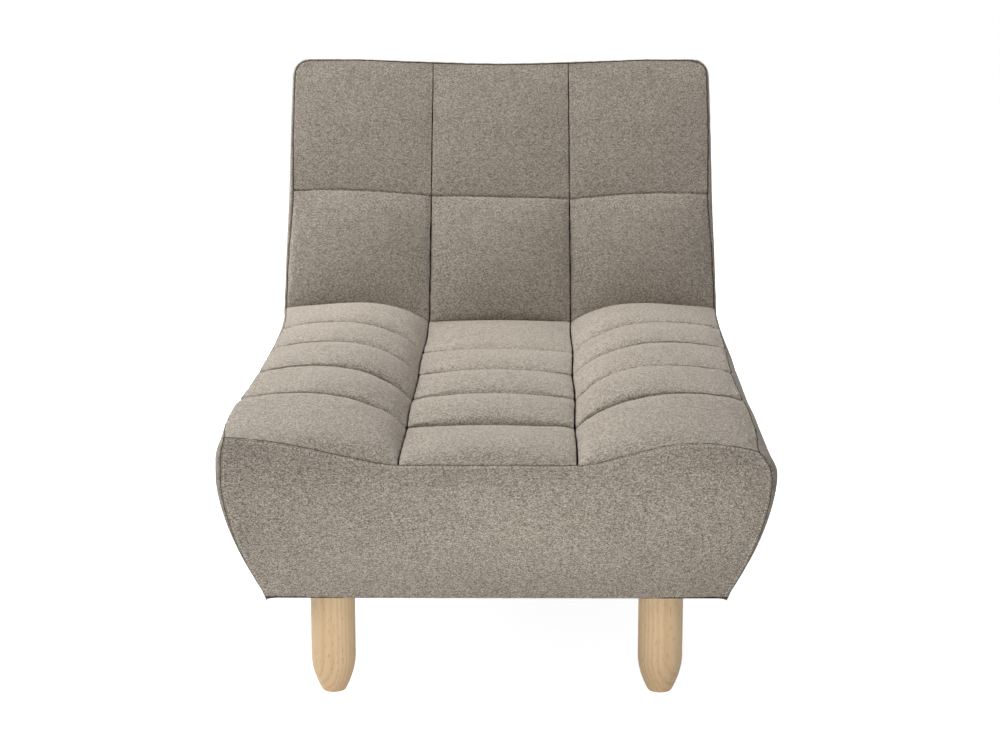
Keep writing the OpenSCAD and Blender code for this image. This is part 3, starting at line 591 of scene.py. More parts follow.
@dataclass
class Surface:
    """A grid surface with a fabric layout, made into a closed piece."""

    outer: np.ndarray
    inner: np.ndarray
    layout: np.ndarray

    @classmethod
    def sheet(cls, outer: np.ndarray, outward: np.ndarray, thickness: float) -> "Surface":
        """A cover of one thickness, whose layout is its lengths along the grid lines."""
        return cls(outer, outer - outward * thickness, laid_out(outer))

    def build(self, name: str, *materials: bpy.types.Material) -> bpy.types.Object:
        """Makes the closed mesh: both surfaces and the rim between them, with faces outwards.

        Args:
            name: the piece's name.
            *materials: what it is made of.

        Returns:
            The new object, at the origin.
        """
        rows, columns = self.outer.shape[:2]
        count = rows * columns
        index = np.arange(count).reshape(rows, columns)
        front = grid_quads(rows, columns)
        loop = np.concatenate([index[0, :-1], index[:-1, -1], index[-1, :0:-1], index[:0:-1, 0]])
        after = np.roll(loop, -1)
        rim = np.stack([after, loop, loop + count, after + count], -1)
        faces = np.concatenate([front, front[:, ::-1] + count, rim])
        points = np.concatenate([self.outer.reshape(-1, 3), self.inner.reshape(-1, 3)])
        layout = np.concatenate([self.layout.reshape(-1, 2)] * 2)
        return make_piece(name, points, outward_quads(points, faces), layout, *materials)


def laid_out(points: np.ndarray) -> np.ndarray:
    """Fabric layout of a grid in metres: lengths across it from its middle, and lengths along it."""
    over = lengths_along(points, 1)
    along = lengths_along(points, 0)
    middle = points.shape[1] // 2
    return np.stack([over - over[:, [middle]], np.broadcast_to(along[:, [middle]], over.shape)], -1)


def enclosed(points: np.ndarray, faces: np.ndarray) -> float:
    """Volume that quads enclose, negative where they face in: a sum of signed tetrahedra."""
    a, b, c, d = (points[faces[:, k]] for k in range(4))
    return float(np.sum(a * np.cross(b, c)) + np.sum(a * np.cross(c, d))) / 6.0


def outward_quads(points: np.ndarray, faces: np.ndarray) -> np.ndarray:
    """The quads of a closed mesh, all turned to face out."""
    return faces[:, ::-1] if enclosed(points, faces) < 0.0 else faces


def placed(name: str, data: bpy.types.ID) -> bpy.types.Object:
    """A new object with this data, in the scene."""
    made = bpy.data.objects.new(name, data)
    bpy.context.scene.collection.objects.link(made)
    return made


def declared(piece: bpy.types.Object, node: str | None = None) -> bpy.types.Object:
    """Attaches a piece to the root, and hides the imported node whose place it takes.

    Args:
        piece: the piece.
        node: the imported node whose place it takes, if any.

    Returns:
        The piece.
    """
    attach(piece, ROOT)
    if node:
        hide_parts(node)
    return piece


def make_piece(name: str, points: np.ndarray, faces: np.ndarray, layout: np.ndarray,
               *materials: bpy.types.Material) -> bpy.types.Object:
    """Puts points, quads and a fabric layout into a smooth mesh object.

    Args:
        name: the piece's name.
        points: one row of X, Y and Z for each vertex.
        faces: one row of four vertex numbers for each quad.
        layout: one row of U and V for each vertex, in metres.
        *materials: what it is made of.

    Returns:
        The new object.
    """
    mesh = bpy.data.meshes.new(name)
    mesh.vertices.add(len(points))
    mesh.vertices.foreach_set("co", points.astype(np.float32).ravel())
    mesh.loops.add(faces.size)
    mesh.loops.foreach_set("vertex_index", faces.astype(np.int32).ravel())
    mesh.polygons.add(len(faces))
    mesh.polygons.foreach_set("loop_start", np.arange(0, faces.size, 4, dtype=np.int32))
    mesh.polygons.foreach_set("use_smooth", np.ones(len(faces), bool))
    mesh.update(calc_edges=True)
    cloth_map = mesh.uv_layers.new(name="cloth")
    cloth_map.data.foreach_set("uv", layout[faces.ravel()].astype(np.float32).ravel())
    for material in materials:
        mesh.materials.append(material)
    return placed(name, mesh)


def catmull_rom(places: np.ndarray, count: int) -> np.ndarray:
    """Weights that read a row of values between its entries along smooth curves.

    Args:
        places: where to read, from 0 to count - 1.
        count: number of entries.

    Returns:
        One row of Catmull-Rom weights for each place.
    """
    low = np.clip(np.floor(places).astype(int), 0, count - 2)
    f = places - low
    shares = [-0.5 * f + f ** 2 - 0.5 * f ** 3, 1 - 2.5 * f ** 2 + 1.5 * f ** 3,
              0.5 * f + 2 * f ** 2 - 1.5 * f ** 3, -0.5 * f ** 2 + 0.5 * f ** 3]
    weights = np.zeros((len(places), count))
    for step, share in zip((-1, 0, 1, 2), shares):
        np.add.at(weights, (np.arange(len(places)), np.clip(low + step, 0, count - 1)), share)
    return weights


@dataclass(frozen=True)
class Stuffing:
    """Cloth over soft filling: it is cut a little large, and the filling presses it out between seams."""

    growth: float = 0.012
    pressure: float = 2.0
    bending: float = 0.35
    steps: int = 22
    cap: float = 0.003
    rough: float = 0.0004

    def settle(self, points: np.ndarray, pinned: np.ndarray, seed: int) -> np.ndarray:
        """Lets the cloth of a strip find its form between its stitched lines.

        Args:
            points: the strip's sewn surface, as a grid of points about 5 mm apart.
            pinned: which points the thread holds.
            seed: which small unevenness the cloth starts with.

        Returns: How far each point moves, which never reaches the cap.
        """
        rows, columns = points.shape[:2]
        uneven = np.random.default_rng(seed).uniform(-self.rough, self.rough, (rows, columns))
        start = points + facing(points, UP) * np.where(pinned, 0.0, uneven)[..., None]
        faces = grid_quads(rows, columns)
        if np.sum(normals_of(points)[..., 2]) > 0.0:
            faces = faces[:, ::-1]
        cloth = make_piece("settling_cloth", start.reshape(-1, 3), faces, np.zeros((rows * columns, 2)))
        held = cloth.vertex_groups.new(name="held")
        held.add(np.flatnonzero(pinned.ravel()).tolist(), 1.0, "REPLACE")
        modifier = cloth.modifiers.new("Cloth", "CLOTH")
        wanted = {"quality": 4, "mass": 0.25, "tension_stiffness": 12.0, "compression_stiffness": 12.0,
                  "shear_stiffness": 4.0, "bending_stiffness": self.bending, "air_damping": 2.0,
                  "vertex_group_mass": "held", "shrink_min": -self.growth, "use_pressure": True,
                  "uniform_pressure_force": self.pressure}
        for setting, value in wanted.items():
            setattr(modifier.settings, setting, value)
        modifier.settings.effector_weights.gravity = 0.0
        modifier.collision_settings.use_collision = False
        scene = bpy.context.scene
        for frame_number in range(1, self.steps + 1):
            scene.frame_set(frame_number)
        settled = cloth.evaluated_get(bpy.context.evaluated_depsgraph_get())
        found = np.empty(rows * columns * 3, np.float32)
        settled.data.vertices.foreach_get("co", found)
        bpy.data.objects.remove(cloth)
        scene.frame_set(1)
        moved = found.reshape(rows, columns, 3).astype(float) - points
        size = np.linalg.norm(moved, axis=2, keepdims=True)
        return moved * self.cap / (self.cap + size)


@dataclass
class QuiltedStrip:
    """One strip of quilting: cells between stitched lines, as a surface over two shares.

    A subclass says where the surface lies. The first share runs along the strip through its cells, and
    the second runs across it.
    """

    form: Form
    fabric: bpy.types.Material
    stuffing: Stuffing = Stuffing()
    coarse: float = 0.0055
    fine: int = 46
    fine_across: int = 66
    groove: float = 0.0042
    groove_reach: float = 0.0026
    pinch: float = 1.2
    pinch_reach: float = 0.018
    pucker: float = 0.0007
    edge_roll: float = 0.0026
    end_roll: float = 0.0012
    # how far the outer seam's line is lifted out along the normal, so that the painted seam shade laid on
    # it shows
    side_lift: float = 0.0
    toward: tuple[float, float, float] = UP
    kind: str = ""
    first_seed: int = 0
    fill: float = 0.7
    side: Side | None = None
    seams: list = field(default_factory=list)

    def __post_init__(self) -> None:
        """Names the strip after its side."""
        word = self.side.word if self.side else "middle"
        self.name, self.node = f"{self.kind}_strip_{word}", f"{self.kind}_quilt_{word}"
        self.seed = self.first_seed + (self.side.value if self.side else 0)

    def cell_edges(self) -> np.ndarray:
        """Lengths along the strip at which its cells begin and end."""
        raise NotImplementedError

    def surface(self, along: np.ndarray, over: np.ndarray) -> np.ndarray:
        """The sewn surface at lengths along the strip and shares across it."""
        raise NotImplementedError

    def underside(self, top: np.ndarray) -> np.ndarray:
        """What the strip lies on, below each point of its top."""
        raise NotImplementedError

    def borders(self, top: np.ndarray, up: np.ndarray) -> list[np.ndarray]:
        """The edges of the strip along which a seam shows: the outer one, or both of a middle strip."""
        if self.side is None:
            return [top[:, 0], top[:, -1]]
        # the outer line is lifted out so that the painted seam shade laid along it shows above the rolled
        # edge
        return [top[:, -1] + self.side_lift * up[:, -1]]

    def settled(self, along: np.ndarray, over: np.ndarray) -> np.ndarray:
        """The move that the stuffing gives, read smoothly from a coarse cloth onto fine stations.

        Args:
            along: lengths along the strip.
            over: shares across it.

        Returns:
            The move of each point of the grid of both.
        """
        edges = self.cell_edges()
        counts = np.maximum(np.round(np.diff(edges) / self.coarse).astype(int), 4)
        rough_along = np.concatenate([np.linspace(a, b, n, endpoint=False)
                                      for a, b, n in zip(edges[:-1], edges[1:], counts)] + [edges[-1:]])
        wide = self.surface(np.array([[edges[1]]]), np.array([[0.0, 1.0]]))
        columns = int(round(np.linalg.norm(wide[0, 1] - wide[0, 0]) / self.coarse))
        rough_over = np.linspace(0.0, 1.0, columns + 1)
        points = self.surface(rough_along[:, None], rough_over[None, :])
        held = np.isin(np.arange(len(rough_along)), np.concatenate([[0], np.cumsum(counts)]))
        pinned = held[:, None] | np.isin(np.arange(columns + 1), (0, columns))[None, :]
        moved = self.stuffing.settle(points, pinned, self.seed)
        row_at = np.interp(along, rough_along, np.arange(len(rough_along)))
        column_at = over * columns
        reader_along = catmull_rom(row_at, len(rough_along))
        reader_over = catmull_rom(column_at, columns + 1)
        return np.einsum("ia,abk,jb->ijk", reader_along, moved, reader_over, optimize=True)

    def build(self) -> bpy.types.Object:
        """Builds the strip.

        Returns:
            The closed quilted piece, which stands for its node.
        """
        edges = self.cell_edges()
        along = joined_stations(edges, [self.fine] * (len(edges) - 1))
        over = clustered(self.fine_across)
        top = self.surface(along[:, None], over[None, :]) + self.settled(along, over)
        up = facing(top, self.toward)
        beside = nearest_edge(top, Edge.FIRST_COLUMN, Edge.LAST_COLUMN)
        ends = nearest_edge(top, Edge.FIRST_ROW, Edge.LAST_ROW)
        depth = np.maximum(roll_depth(beside, self.edge_roll), roll_depth(ends, self.end_roll))
        stitched = np.min(np.abs(along[:, None] - edges[None, 1:-1]), axis=1)[:, None]
        pinched = 1.0 + self.pinch * np.exp(-beside / self.pinch_reach)
        depth = depth + self.groove * pinched * np.exp(-stitched / self.groove_reach)
        draw = sum(wander(lengths_along(top, axis), pitch, self.seed + turn) * np.exp(-away / reach)
                   for axis, pitch, turn, away, reach in ((1, 0.013, 7, stitched, 0.016),
                                                          (0, 0.012, 9, beside, 0.013)))
        shaped = top + up * (self.pucker * draw - depth)[..., None]
        rows = np.searchsorted(along, edges[1:-1])
        # the lines along which the painted seam shade is laid
        self.seams = [shaped[row] for row in rows] + self.borders(shaped, up)
        piece = Surface(shaped, self.underside(top), laid_out(top)).build(self.name, self.fabric)
        declared(piece, self.node)
        log.info("%s: %d faces", self.name, len(piece.data.polygons))
        return piece


@dataclass
class SeatStrip(QuiltedStrip):
    """A strip of the seat: the flat middle column, or an outer one that rises into a bolster."""

    kind: str = "seat"
    first_seed: int = 11
    puffs: tuple = (0.024, 0.029, 0.028, 0.024, 0.020)
    bolster_puff: float = 0.026
    side_lift: float = 0.0020
    leans: tuple = (1.0, 0.92, 0.80, 0.76, 0.74)
    bolster_lead: float = 0.06
    bolster_fall: float = 0.72
    bolster_vary: float = 0.12
    bolster_edge: float = 0.12
    front_rise: float = 0.018
    front_lift: float = 0.0005
    rest_gap: float = 0.0006
    crease_gap: float = 0.0015
    foam_inset: float = 0.004
    front_gap: float = 0.002
    wedge: tuple = ((0.0, 0.0), (0.18, 0.36), (0.45, 0.72), (0.72, 0.95), (1.0, 1.0))

    def cell_edges(self) -> np.ndarray:
        """The rows of the seat."""
        return self.form.row_edges

    def fullness(self, row: np.ndarray) -> np.ndarray:
        """Height of each row's cells, on a bolster a little different from row to row."""
        if self.side is None:
            return np.array(self.puffs)[row]
        spread = np.random.default_rng(self.seed).uniform(-1.0, 1.0, self.form.row_count)
        return self.bolster_puff * (1.0 + self.bolster_vary * spread[row])

    def swell_across(self, over: np.ndarray) -> np.ndarray:
        """Share of a cell's height across the strip.

        Args:
            over: shares across the strip.

        Returns:
            An even pillow for the middle column. A bolster's cells are fullest beside the lengthwise
            seam, and die away towards the side seam.
        """
        if self.side is None:
            return pillow(over, 0.42)
        rise = 1.0 - np.exp(-over / self.bolster_lead)
        fall = 1.0 - self.bolster_fall * eased((over - 0.15) / 0.75)
        return rise * fall * np.sqrt(clamped((1.0 - over) / self.bolster_edge))

    def surface(self, along: np.ndarray, over: np.ndarray) -> np.ndarray:
        """The seat's surface.

        Args:
            along: lengths from the front seam.
            over: shares across the strip, from the left or from the lengthwise seam outwards.

        Returns:
            Points whose height is the seams' level, the bolster's height and the stuffed cell's. The
            first cell starts as a slope, so that it runs on from the front panel.
        """
        form = self.form
        row, share = form.row_share(along)
        first = (1.0 - np.exp(-along / self.front_rise)) * np.sqrt(1.0 - share ** 3)
        swell = np.where(row == 0, first, pillow(share ** np.array(self.leans)[row], 0.5))
        cell = self.fullness(row) * swell * self.swell_across(over)
        if self.side is None:
            x = mix(form.column_seam(along, Side.LEFT), form.column_seam(along, Side.RIGHT), over)
            z = form.z_seat + cell
        else:
            seam = self.side.value * (form.half - form.inset_at(along, self.side))
            x = mix(form.column_seam(along, self.side), seam, over)
            z = form.z_seat + form.bolster_rise_at(over, along, self.side) + cell
        sin, cos = form.lean
        y_end = form.y_crease - self.crease_gap + np.maximum(z - form.z_seat, 0.0) * sin / cos
        y_start = form.y_seam + self.front_lift + form.front_plan(x)
        y = mix(y_start, y_end, along / form.seat_length)
        return np.stack(np.broadcast_arrays(x, y, z), -1)

    def underside(self, top: np.ndarray) -> np.ndarray:
        """The foam's top: the slab, and beside it the wedge of the bolster.

        Args:
            top: the strip's upper surface.

        Returns:
            The point of the foam below each point, held a little inside the seat's two ends.
        """
        form = self.form
        below = top.copy()
        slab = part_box("seat_foam")[1].z + self.rest_gap
        below[..., 2] = slab
        if self.side is not None:
            low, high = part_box(f"bolster_foam_{self.side.word}")
            inner, outer = sorted((abs(low.x), abs(high.x)))
            rise = high.z - slab
            share = clamped((np.abs(top[..., 0]) - inner) / (outer - inner))
            over_wedge = slab + (rise + self.rest_gap) * np.interp(share, *zip(*self.wedge))
            beyond = np.abs(top[..., 0]) > outer + self.rest_gap
            below[..., 2] = np.where(beyond, slab, over_wedge)
        front = form.y_seam + self.foam_inset + self.front_gap
        below[..., 1] = np.clip(below[..., 1], front, form.y_crease - self.foam_inset)
        return below


@dataclass
class BackStrip(QuiltedStrip):
    """A strip of the back, between two lengthwise seams or between one and the edge of the back."""

    kind: str = "back"
    first_seed: int = 31
    stuffing: Stuffing = Stuffing(growth=0.006, pressure=1.0, bending=0.5, cap=0.0014)
    fine: int = 84
    groove: float = 0.0026
    groove_reach: float = 0.0016
    pinch: float = 0.6
    edge_roll: float = 0.0016
    side_lift: float = 0.0016
    toward: tuple[float, float, float] = (0.0, -1.0, 0.0)
    puffs: tuple = (0.026, 0.010)
    middle_puffs: tuple = (0.030, 0.011)
    puff_powers: tuple = (0.62, 0.6)
    low_skew: float = 0.85
    seam_droop: float = 0.012
    seam_skew: float = 0.0031
    seam_level: float = 0.2495
    arch_reach: float = 0.2
    thickness: float = 0.0115

    def cell_edges(self) -> np.ndarray:
        """The two rows of the back, as even shares of its height."""
        return np.array([0.0, 0.5, 1.0]) * self.form.back_length

    def borders(self, top: np.ndarray, up: np.ndarray) -> list[np.ndarray]:
        """The strip's edges with its top edge."""
        return super().borders(top, up) + [top[-1] + self.side_lift * up[-1]]

    def cross_seam(self, x: np.ndarray) -> np.ndarray:
        """How far up the back the cross seam runs: level in the middle, arched on each outer strip."""
        inner = self.form.column_w / 2.0
        skew = -self.seam_skew * np.clip(x / inner, -1.0, 1.0)
        arch = np.sin(0.5 * np.pi * clamped((np.abs(x) - inner) / self.arch_reach))
        arch = arch - 0.15 * clamped((np.abs(x) - 0.33) / 0.06)
        return self.seam_level + skew + self.seam_droop * arch

    def edge_x(self, s: np.ndarray) -> np.ndarray:
        """Half the back's sewn width, drawn in at the cross seam and at the rounded top corner."""
        form = self.form
        reach = form.half - form.boxing_in - form.boxing_roll - form.waist_at(s)
        radius = form.corner_r - form.boxing_roll
        rise = np.clip(s - (form.back_length - form.corner_r), 0.0, radius)
        return reach - (radius - np.sqrt(np.maximum(radius ** 2 - rise ** 2, 0.0)))

    def surface(self, along: np.ndarray, over: np.ndarray) -> np.ndarray:
        """The back's surface.

        Args:
            along: lengths up the back if it had no sag, from the crease.
            over: shares across the strip, from the left or from the lengthwise seam outwards.

        Returns:
            Points on the leaning plane, raised by each stuffed cell.
        """
        form = self.form
        inner = form.column_w / 2.0
        if self.side is None:
            x = mix(-inner, inner, over)
        else:
            x = mix(inner, self.edge_x(along), over) * self.side.value
        half = form.back_length / 2.0
        top = form.back_length + form.top_stretch - form.top_drop(x) - form.boxing_roll
        seam = self.cross_seam(x)
        touch = form.bolster_rear * form.across(clamped((np.abs(x) - inner) / (form.half - inner)))
        lower, upper = clamped(along / half), clamped((along - half) / half)
        s = seam * lower + (top - seam) * upper
        low_share = clamped((s - touch) / (seam - touch)) ** self.low_skew
        cells = [puff * pillow(share, power) for puff, share, power in zip(
            self.puffs if self.side else self.middle_puffs, (low_share, upper), self.puff_powers)]
        rise = np.where(along <= half, *cells) * pillow(over, 0.5)
        y, z = form.on_back(s, -rise)
        return np.stack(np.broadcast_arrays(x, y, z), -1)

    def underside(self, top: np.ndarray) -> np.ndarray:
        """The front of the back's foam, below each point of the strip's top."""
        form = self.form
        sin, cos = form.lean
        y, z = top[..., 1] - form.y_crease, top[..., 2] - form.z_seat
        s = y * sin + z * cos
        low_y, low_z = form.on_back(s, self.thickness)
        return np.stack([top[..., 0], low_y, low_z], -1)


@dataclass
class Cover:
    """A sewn cover of one thickness over padding."""

    form: Form
    fabric: bpy.types.Material
    sewing: Sewing = field(default_factory=Sewing)
    thickness: float = 0.0018

    def slackened(self, points: np.ndarray, outward: np.ndarray, loose: np.ndarray,
                  reach: float) -> np.ndarray:
        """The points moved out by the cloth's slack, which eases in within a reach of every edge."""
        return points + outward * (loose * eased(nearest_edge(points) / reach))[..., None]

    def finish(self, name: str, node: str, outer: np.ndarray, outward: np.ndarray,
               rests_on: list[str]) -> bpy.types.Object:
        """Makes the cover's piece, attaches it to the root and hides the node that it stands for.

        Args:
            name: the piece's name.
            node: the node that it stands for.
            outer: its outer surface, as a grid of points.
            outward: its outward normals.
            rests_on: the nodes that it is drawn over; not used.

        Returns:
            The new piece.
        """
        piece = Surface.sheet(outer, outward, self.thickness).build(name, self.fabric)
        declared(piece, node)
        return piece


@dataclass
class SideBoxing(Cover):
    """The cover of one side, in one run from the front of the seat to the shoulder of the back."""

    slack: float = 0.0006
    inner_waist: float = 0.2
    along_seat: int = 250
    along_back: int = 150
    over: int = 70

    def edges(self, a: np.ndarray, side: Side) -> tuple[np.ndarray, np.ndarray]:
        """Outer edge and seam of the boxing, as Y and Z.

        Args:
            a: 0 to 1 along the seat, and 1 to 2 up the back.
            side: which side.

        Returns:
            The outer edge and the seam at each a.
        """
        form = self.form
        crease_s = (form.side_seam_z(np.array(form.seat_length), side) - form.z_seat) / form.lean[1]
        crease = np.array(form.on_back(crease_s, 0.0))
        shoulder = form.back_length - form.corner_r
        seat, back = clamped(a), clamped(a - 1.0)
        low_y = mix(form.y_front + form.front_rake, form.y_tail, seat)
        low_z = np.full_like(a, form.z_base)
        end = np.array(form.on_back(shoulder, form.rear_q(shoulder)))
        lower = np.stack([np.where(a <= 1, low_y, mix(form.rear_foot[0], end[0], back)),
                          np.where(a <= 1, low_z, mix(form.rear_foot[1], end[1], back))], -1)
        top_y, top_z = form.on_back(mix(crease_s, shoulder, back), 0.0)
        upper = np.stack([np.where(a <= 1, mix(form.y_seam, crease[0], seat), top_y),
                          np.where(a <= 1, form.side_seam_z(form.seat_length * seat, side), top_z)], -1)
        return lower, upper

    def surface(self, a: np.ndarray, t: np.ndarray, side: Side) -> np.ndarray:
        """The boxing's surface.

        Args:
            a: 0 to 1 along the seat, and 1 to 2 up the back.
            t: shares from the outer edge to the seam.
            side: which side.

        Returns:
            Points between the two edges, on the boat-shaped side, rounded in to the seams.
        """
        form = self.form
        lower, upper = self.edges(a, side)
        p = mix(lower[:, None, :], upper[:, None, :], t[None, :, None])
        wide = np.linalg.norm(upper - lower, axis=1)[:, None]
        y, z, a, t = p[..., 0], p[..., 1], a[:, None], t[None, :]
        toe = form.y_front + form.front_rake
        lead = form.front_at(z, form.side_seam_z(np.array(0.0), side)) - mix(toe, form.y_seam, t)
        y = y + np.where(a <= 1, lead * clamped(1.0 - a) ** 6, 0.0)
        ease = clamped((a - 1.0) / form.rear_ease)
        near_rear = ease * clamped(1.0 - t * wide / form.back_edge_round) ** 2
        near_seam = clamped(1.0 - (1.0 - t) * wide / form.seam_reach) ** 2
        waist = form.waist_at(form.back_length * (a - 1.0)) * mix(self.inner_waist, 1.0, near_seam)
        eased_in = mix(form.boxing_ease, form.boxing_in, near_seam)
        back_x = form.half_at(z) - np.maximum(eased_in, form.back_inset * near_rear) - waist
        x = np.where(a <= 1, form.side_x(z, y - form.y_seam, side), back_x)
        return np.stack([side.value * x, y, z], -1)

    def build(self, side: Side) -> bpy.types.Object:
        """Builds the boxing.

        Args:
            side: which side.

        Returns:
            The piece, with slack between its seams.
        """
        a = joined_stations(np.array([0.0, 1.0, 2.0]), [self.along_seat, self.along_back], 0.6)
        t = clustered(self.over, 0.8)
        points = self.surface(a, t, side)
        outward = facing(points, (side.value, 0.0, 0.0))
        loose = self.slack * (ripple(points[..., 1], points[..., 2], 0.16, 60 + side.value) + 0.5)
        points = self.slackened(points, outward, loose, 0.05)
        seams = [Edge.FIRST_ROW, Edge.FIRST_COLUMN, Edge.LAST_COLUMN]
        sewn = self.sewing.shape(points, outward, seams, 70 + side.value)
        rests = [f"side_foam_{side.word}", f"back_side_foam_{side.word}"]
        return self.finish(f"side_boxing_{side.word}", f"side_cover_{side.word}", sewn, outward, rests)


@dataclass
class FrontPanel(Cover):
    """The bulging front of the body, below the seat's front seam."""

    slack: float = 0.0008
    puff: float = 0.009
    tip: float = 0.0045
    tip_reach: float = 0.011
    side_gap: float = 0.0004
    over: int = 220
    up: int = 84

    def grid(self) -> tuple[np.ndarray, np.ndarray]:
        """The panel's sewn surface and its outward normals.

        Returns:
            Points whose X is a share of the side's width at their level, whose level runs from the
            lower edge to the front seam, and whose depth is the front's bulge. Above its fullest
            level it rolls back to the seam as a parabola.
        """
        form = self.form
        u = mix(-1.0, 1.0, clustered(self.over, 0.6))[None, :]
        w = clustered(self.up, 0.7)[:, None]
        start = np.array(0.0)
        edge = {}
        for side in Side:
            level = mix(form.z_base, form.side_seam_z(start, side), w)
            face = form.front_at(level, form.side_seam_z(start, side)) - form.y_seam
            edge[side] = form.side_x(level, face, side) - self.side_gap
        x = np.where(u < 0.0, u * edge[Side.LEFT], u * edge[Side.RIGHT])
        top = form.front_seam_z(x)
        z = mix(form.z_base, top, w)
        z_bulge = form.z_base + form.bulge_rise
        share = clamped((z - z_bulge) / (top - z_bulge))
        full = self.puff * (1.0 - share ** 2) * eased(w / 0.5)
        y = form.front_at(z, top) + form.front_plan(x) - full * (1.0 - u ** 6)
        hang = self.tip * np.exp(-(1.0 - np.abs(u)) * form.half_at(form.z_base) / self.tip_reach)
        z = z - hang * clamped(1.0 - w / 0.08) ** 2
        points = np.stack([x, y, z], -1)
        outward = facing(points, (0.0, -1.0, 0.0))
        return self.slackened(points, outward, self.slack * ripple(x, 1.6 * z, 0.17, 81), 0.06), outward

    def build(self) -> tuple[bpy.types.Object, np.ndarray, np.ndarray]:
        """Builds the panel.

        Returns:
            The piece, and its sewn surface and normals for the topstitching.
        """
        points, outward = self.grid()
        sewn = self.sewing.shape(points, outward, list(Edge), 84)
        return self.finish("front_panel", "front_cover", sewn, outward, ["front_foam"]), sewn, outward


@dataclass
class TopBoxing(Cover):
    """The strip over the top of the back, from shoulder to shoulder."""

    round_steps: int = 26
    top_steps: int = 230
    over: int = 44

    def build(self) -> bpy.types.Object:
        """Builds the strip.

        Returns:
            The piece: an outline of two shoulders, two corner arcs and a top, carried back from the
            front seam to the rear seam. The sag and the seam's inset fade behind the front edge.
        """
        form = self.form
        radius = form.corner_r
        shoulder = form.back_length - radius
        arc = np.linspace(0.0, 0.5 * np.pi, self.round_steps)[1:]
        reach = form.half - form.boxing_ease
        right_x = reach - radius + radius * np.cos(arc)
        right_s = shoulder + radius * np.sin(arc)
        top_x = np.linspace(reach - radius, radius - reach, self.top_steps)[1:-1]
        x = np.concatenate([[reach], right_x, top_x, -right_x[::-1], [-reach]])
        s = np.concatenate([[shoulder], right_s, np.full(len(top_x), form.back_length),
                            right_s[::-1], [shoulder]])
        x, s = x[:, None], s[:, None]
        t = clustered(self.over, 0.8)[None, :]
        q = t * form.rear_q(s)
        y, z = form.on_back(s + form.top_rise(x, q) * clamped((s - shoulder) / radius), q)
        crown = form.back_inset * clamped(2.0 * t - 1.0) ** 6
        x = x * (1.0 - form.boxing_in / form.half * clamped(1.0 - q / form.seam_reach) ** 2)
        points = np.stack([x, y, z], -1)
        outward = facing(points, UP)
        points = points - outward * crown[..., None]
        sewn = self.sewing.shape(points, outward, [Edge.FIRST_COLUMN, Edge.LAST_COLUMN], 95)
        return self.finish("top_boxing", "top_cover", sewn, outward, ["back_top_foam"])


@dataclass
class RearPanel(Cover):
    """The flat rear face, from the underside to the top of the back."""

    over: int = 150
    up: int = 150
    slack: float = 0.0009
    side_lap: float = 0.0006

    def build(self) -> bpy.types.Object:
        """Builds the panel.

        Returns:
            The piece: shares of the body's width at every level of the leaning rear face, with two
            rounded top corners.
        """
        form = self.form
        foot, top = form.rear_foot, form.rear_top
        rise = np.linalg.norm(top - foot)
        step = (top - foot) / rise
        radius = form.corner_r
        p = rise * clustered(self.up, 0.7)[:, None]
        u = mix(-1.0, 1.0, clustered(self.over, 0.7))[None, :]
        level = form.z_base + p * step[1]
        corner = np.clip(p - (rise - radius), 0.0, radius)
        pulled = form.back_inset * clamped(p / (form.rear_ease * rise))
        rounded = radius - np.sqrt(radius ** 2 - corner ** 2)
        edge = form.half_at(level) - pulled - rounded + self.side_lap
        x = u * edge
        p = p + form.top_stretch * (p / rise) ** 2
        y, z = form.y_tail + p * step[0], form.z_base + p * step[1]
        points = np.stack(np.broadcast_arrays(x, y, z), -1)
        outward = facing(points, (0.0, 1.0, 0.0))
        points = self.slackened(points, outward, self.slack * (ripple(x, p, 0.21, 101) + 0.7), 0.06)
        sewn = self.sewing.shape(points, outward, list(Edge), 105)
        return self.finish("rear_panel", "rear_cover", sewn, outward, ["rear_board"])


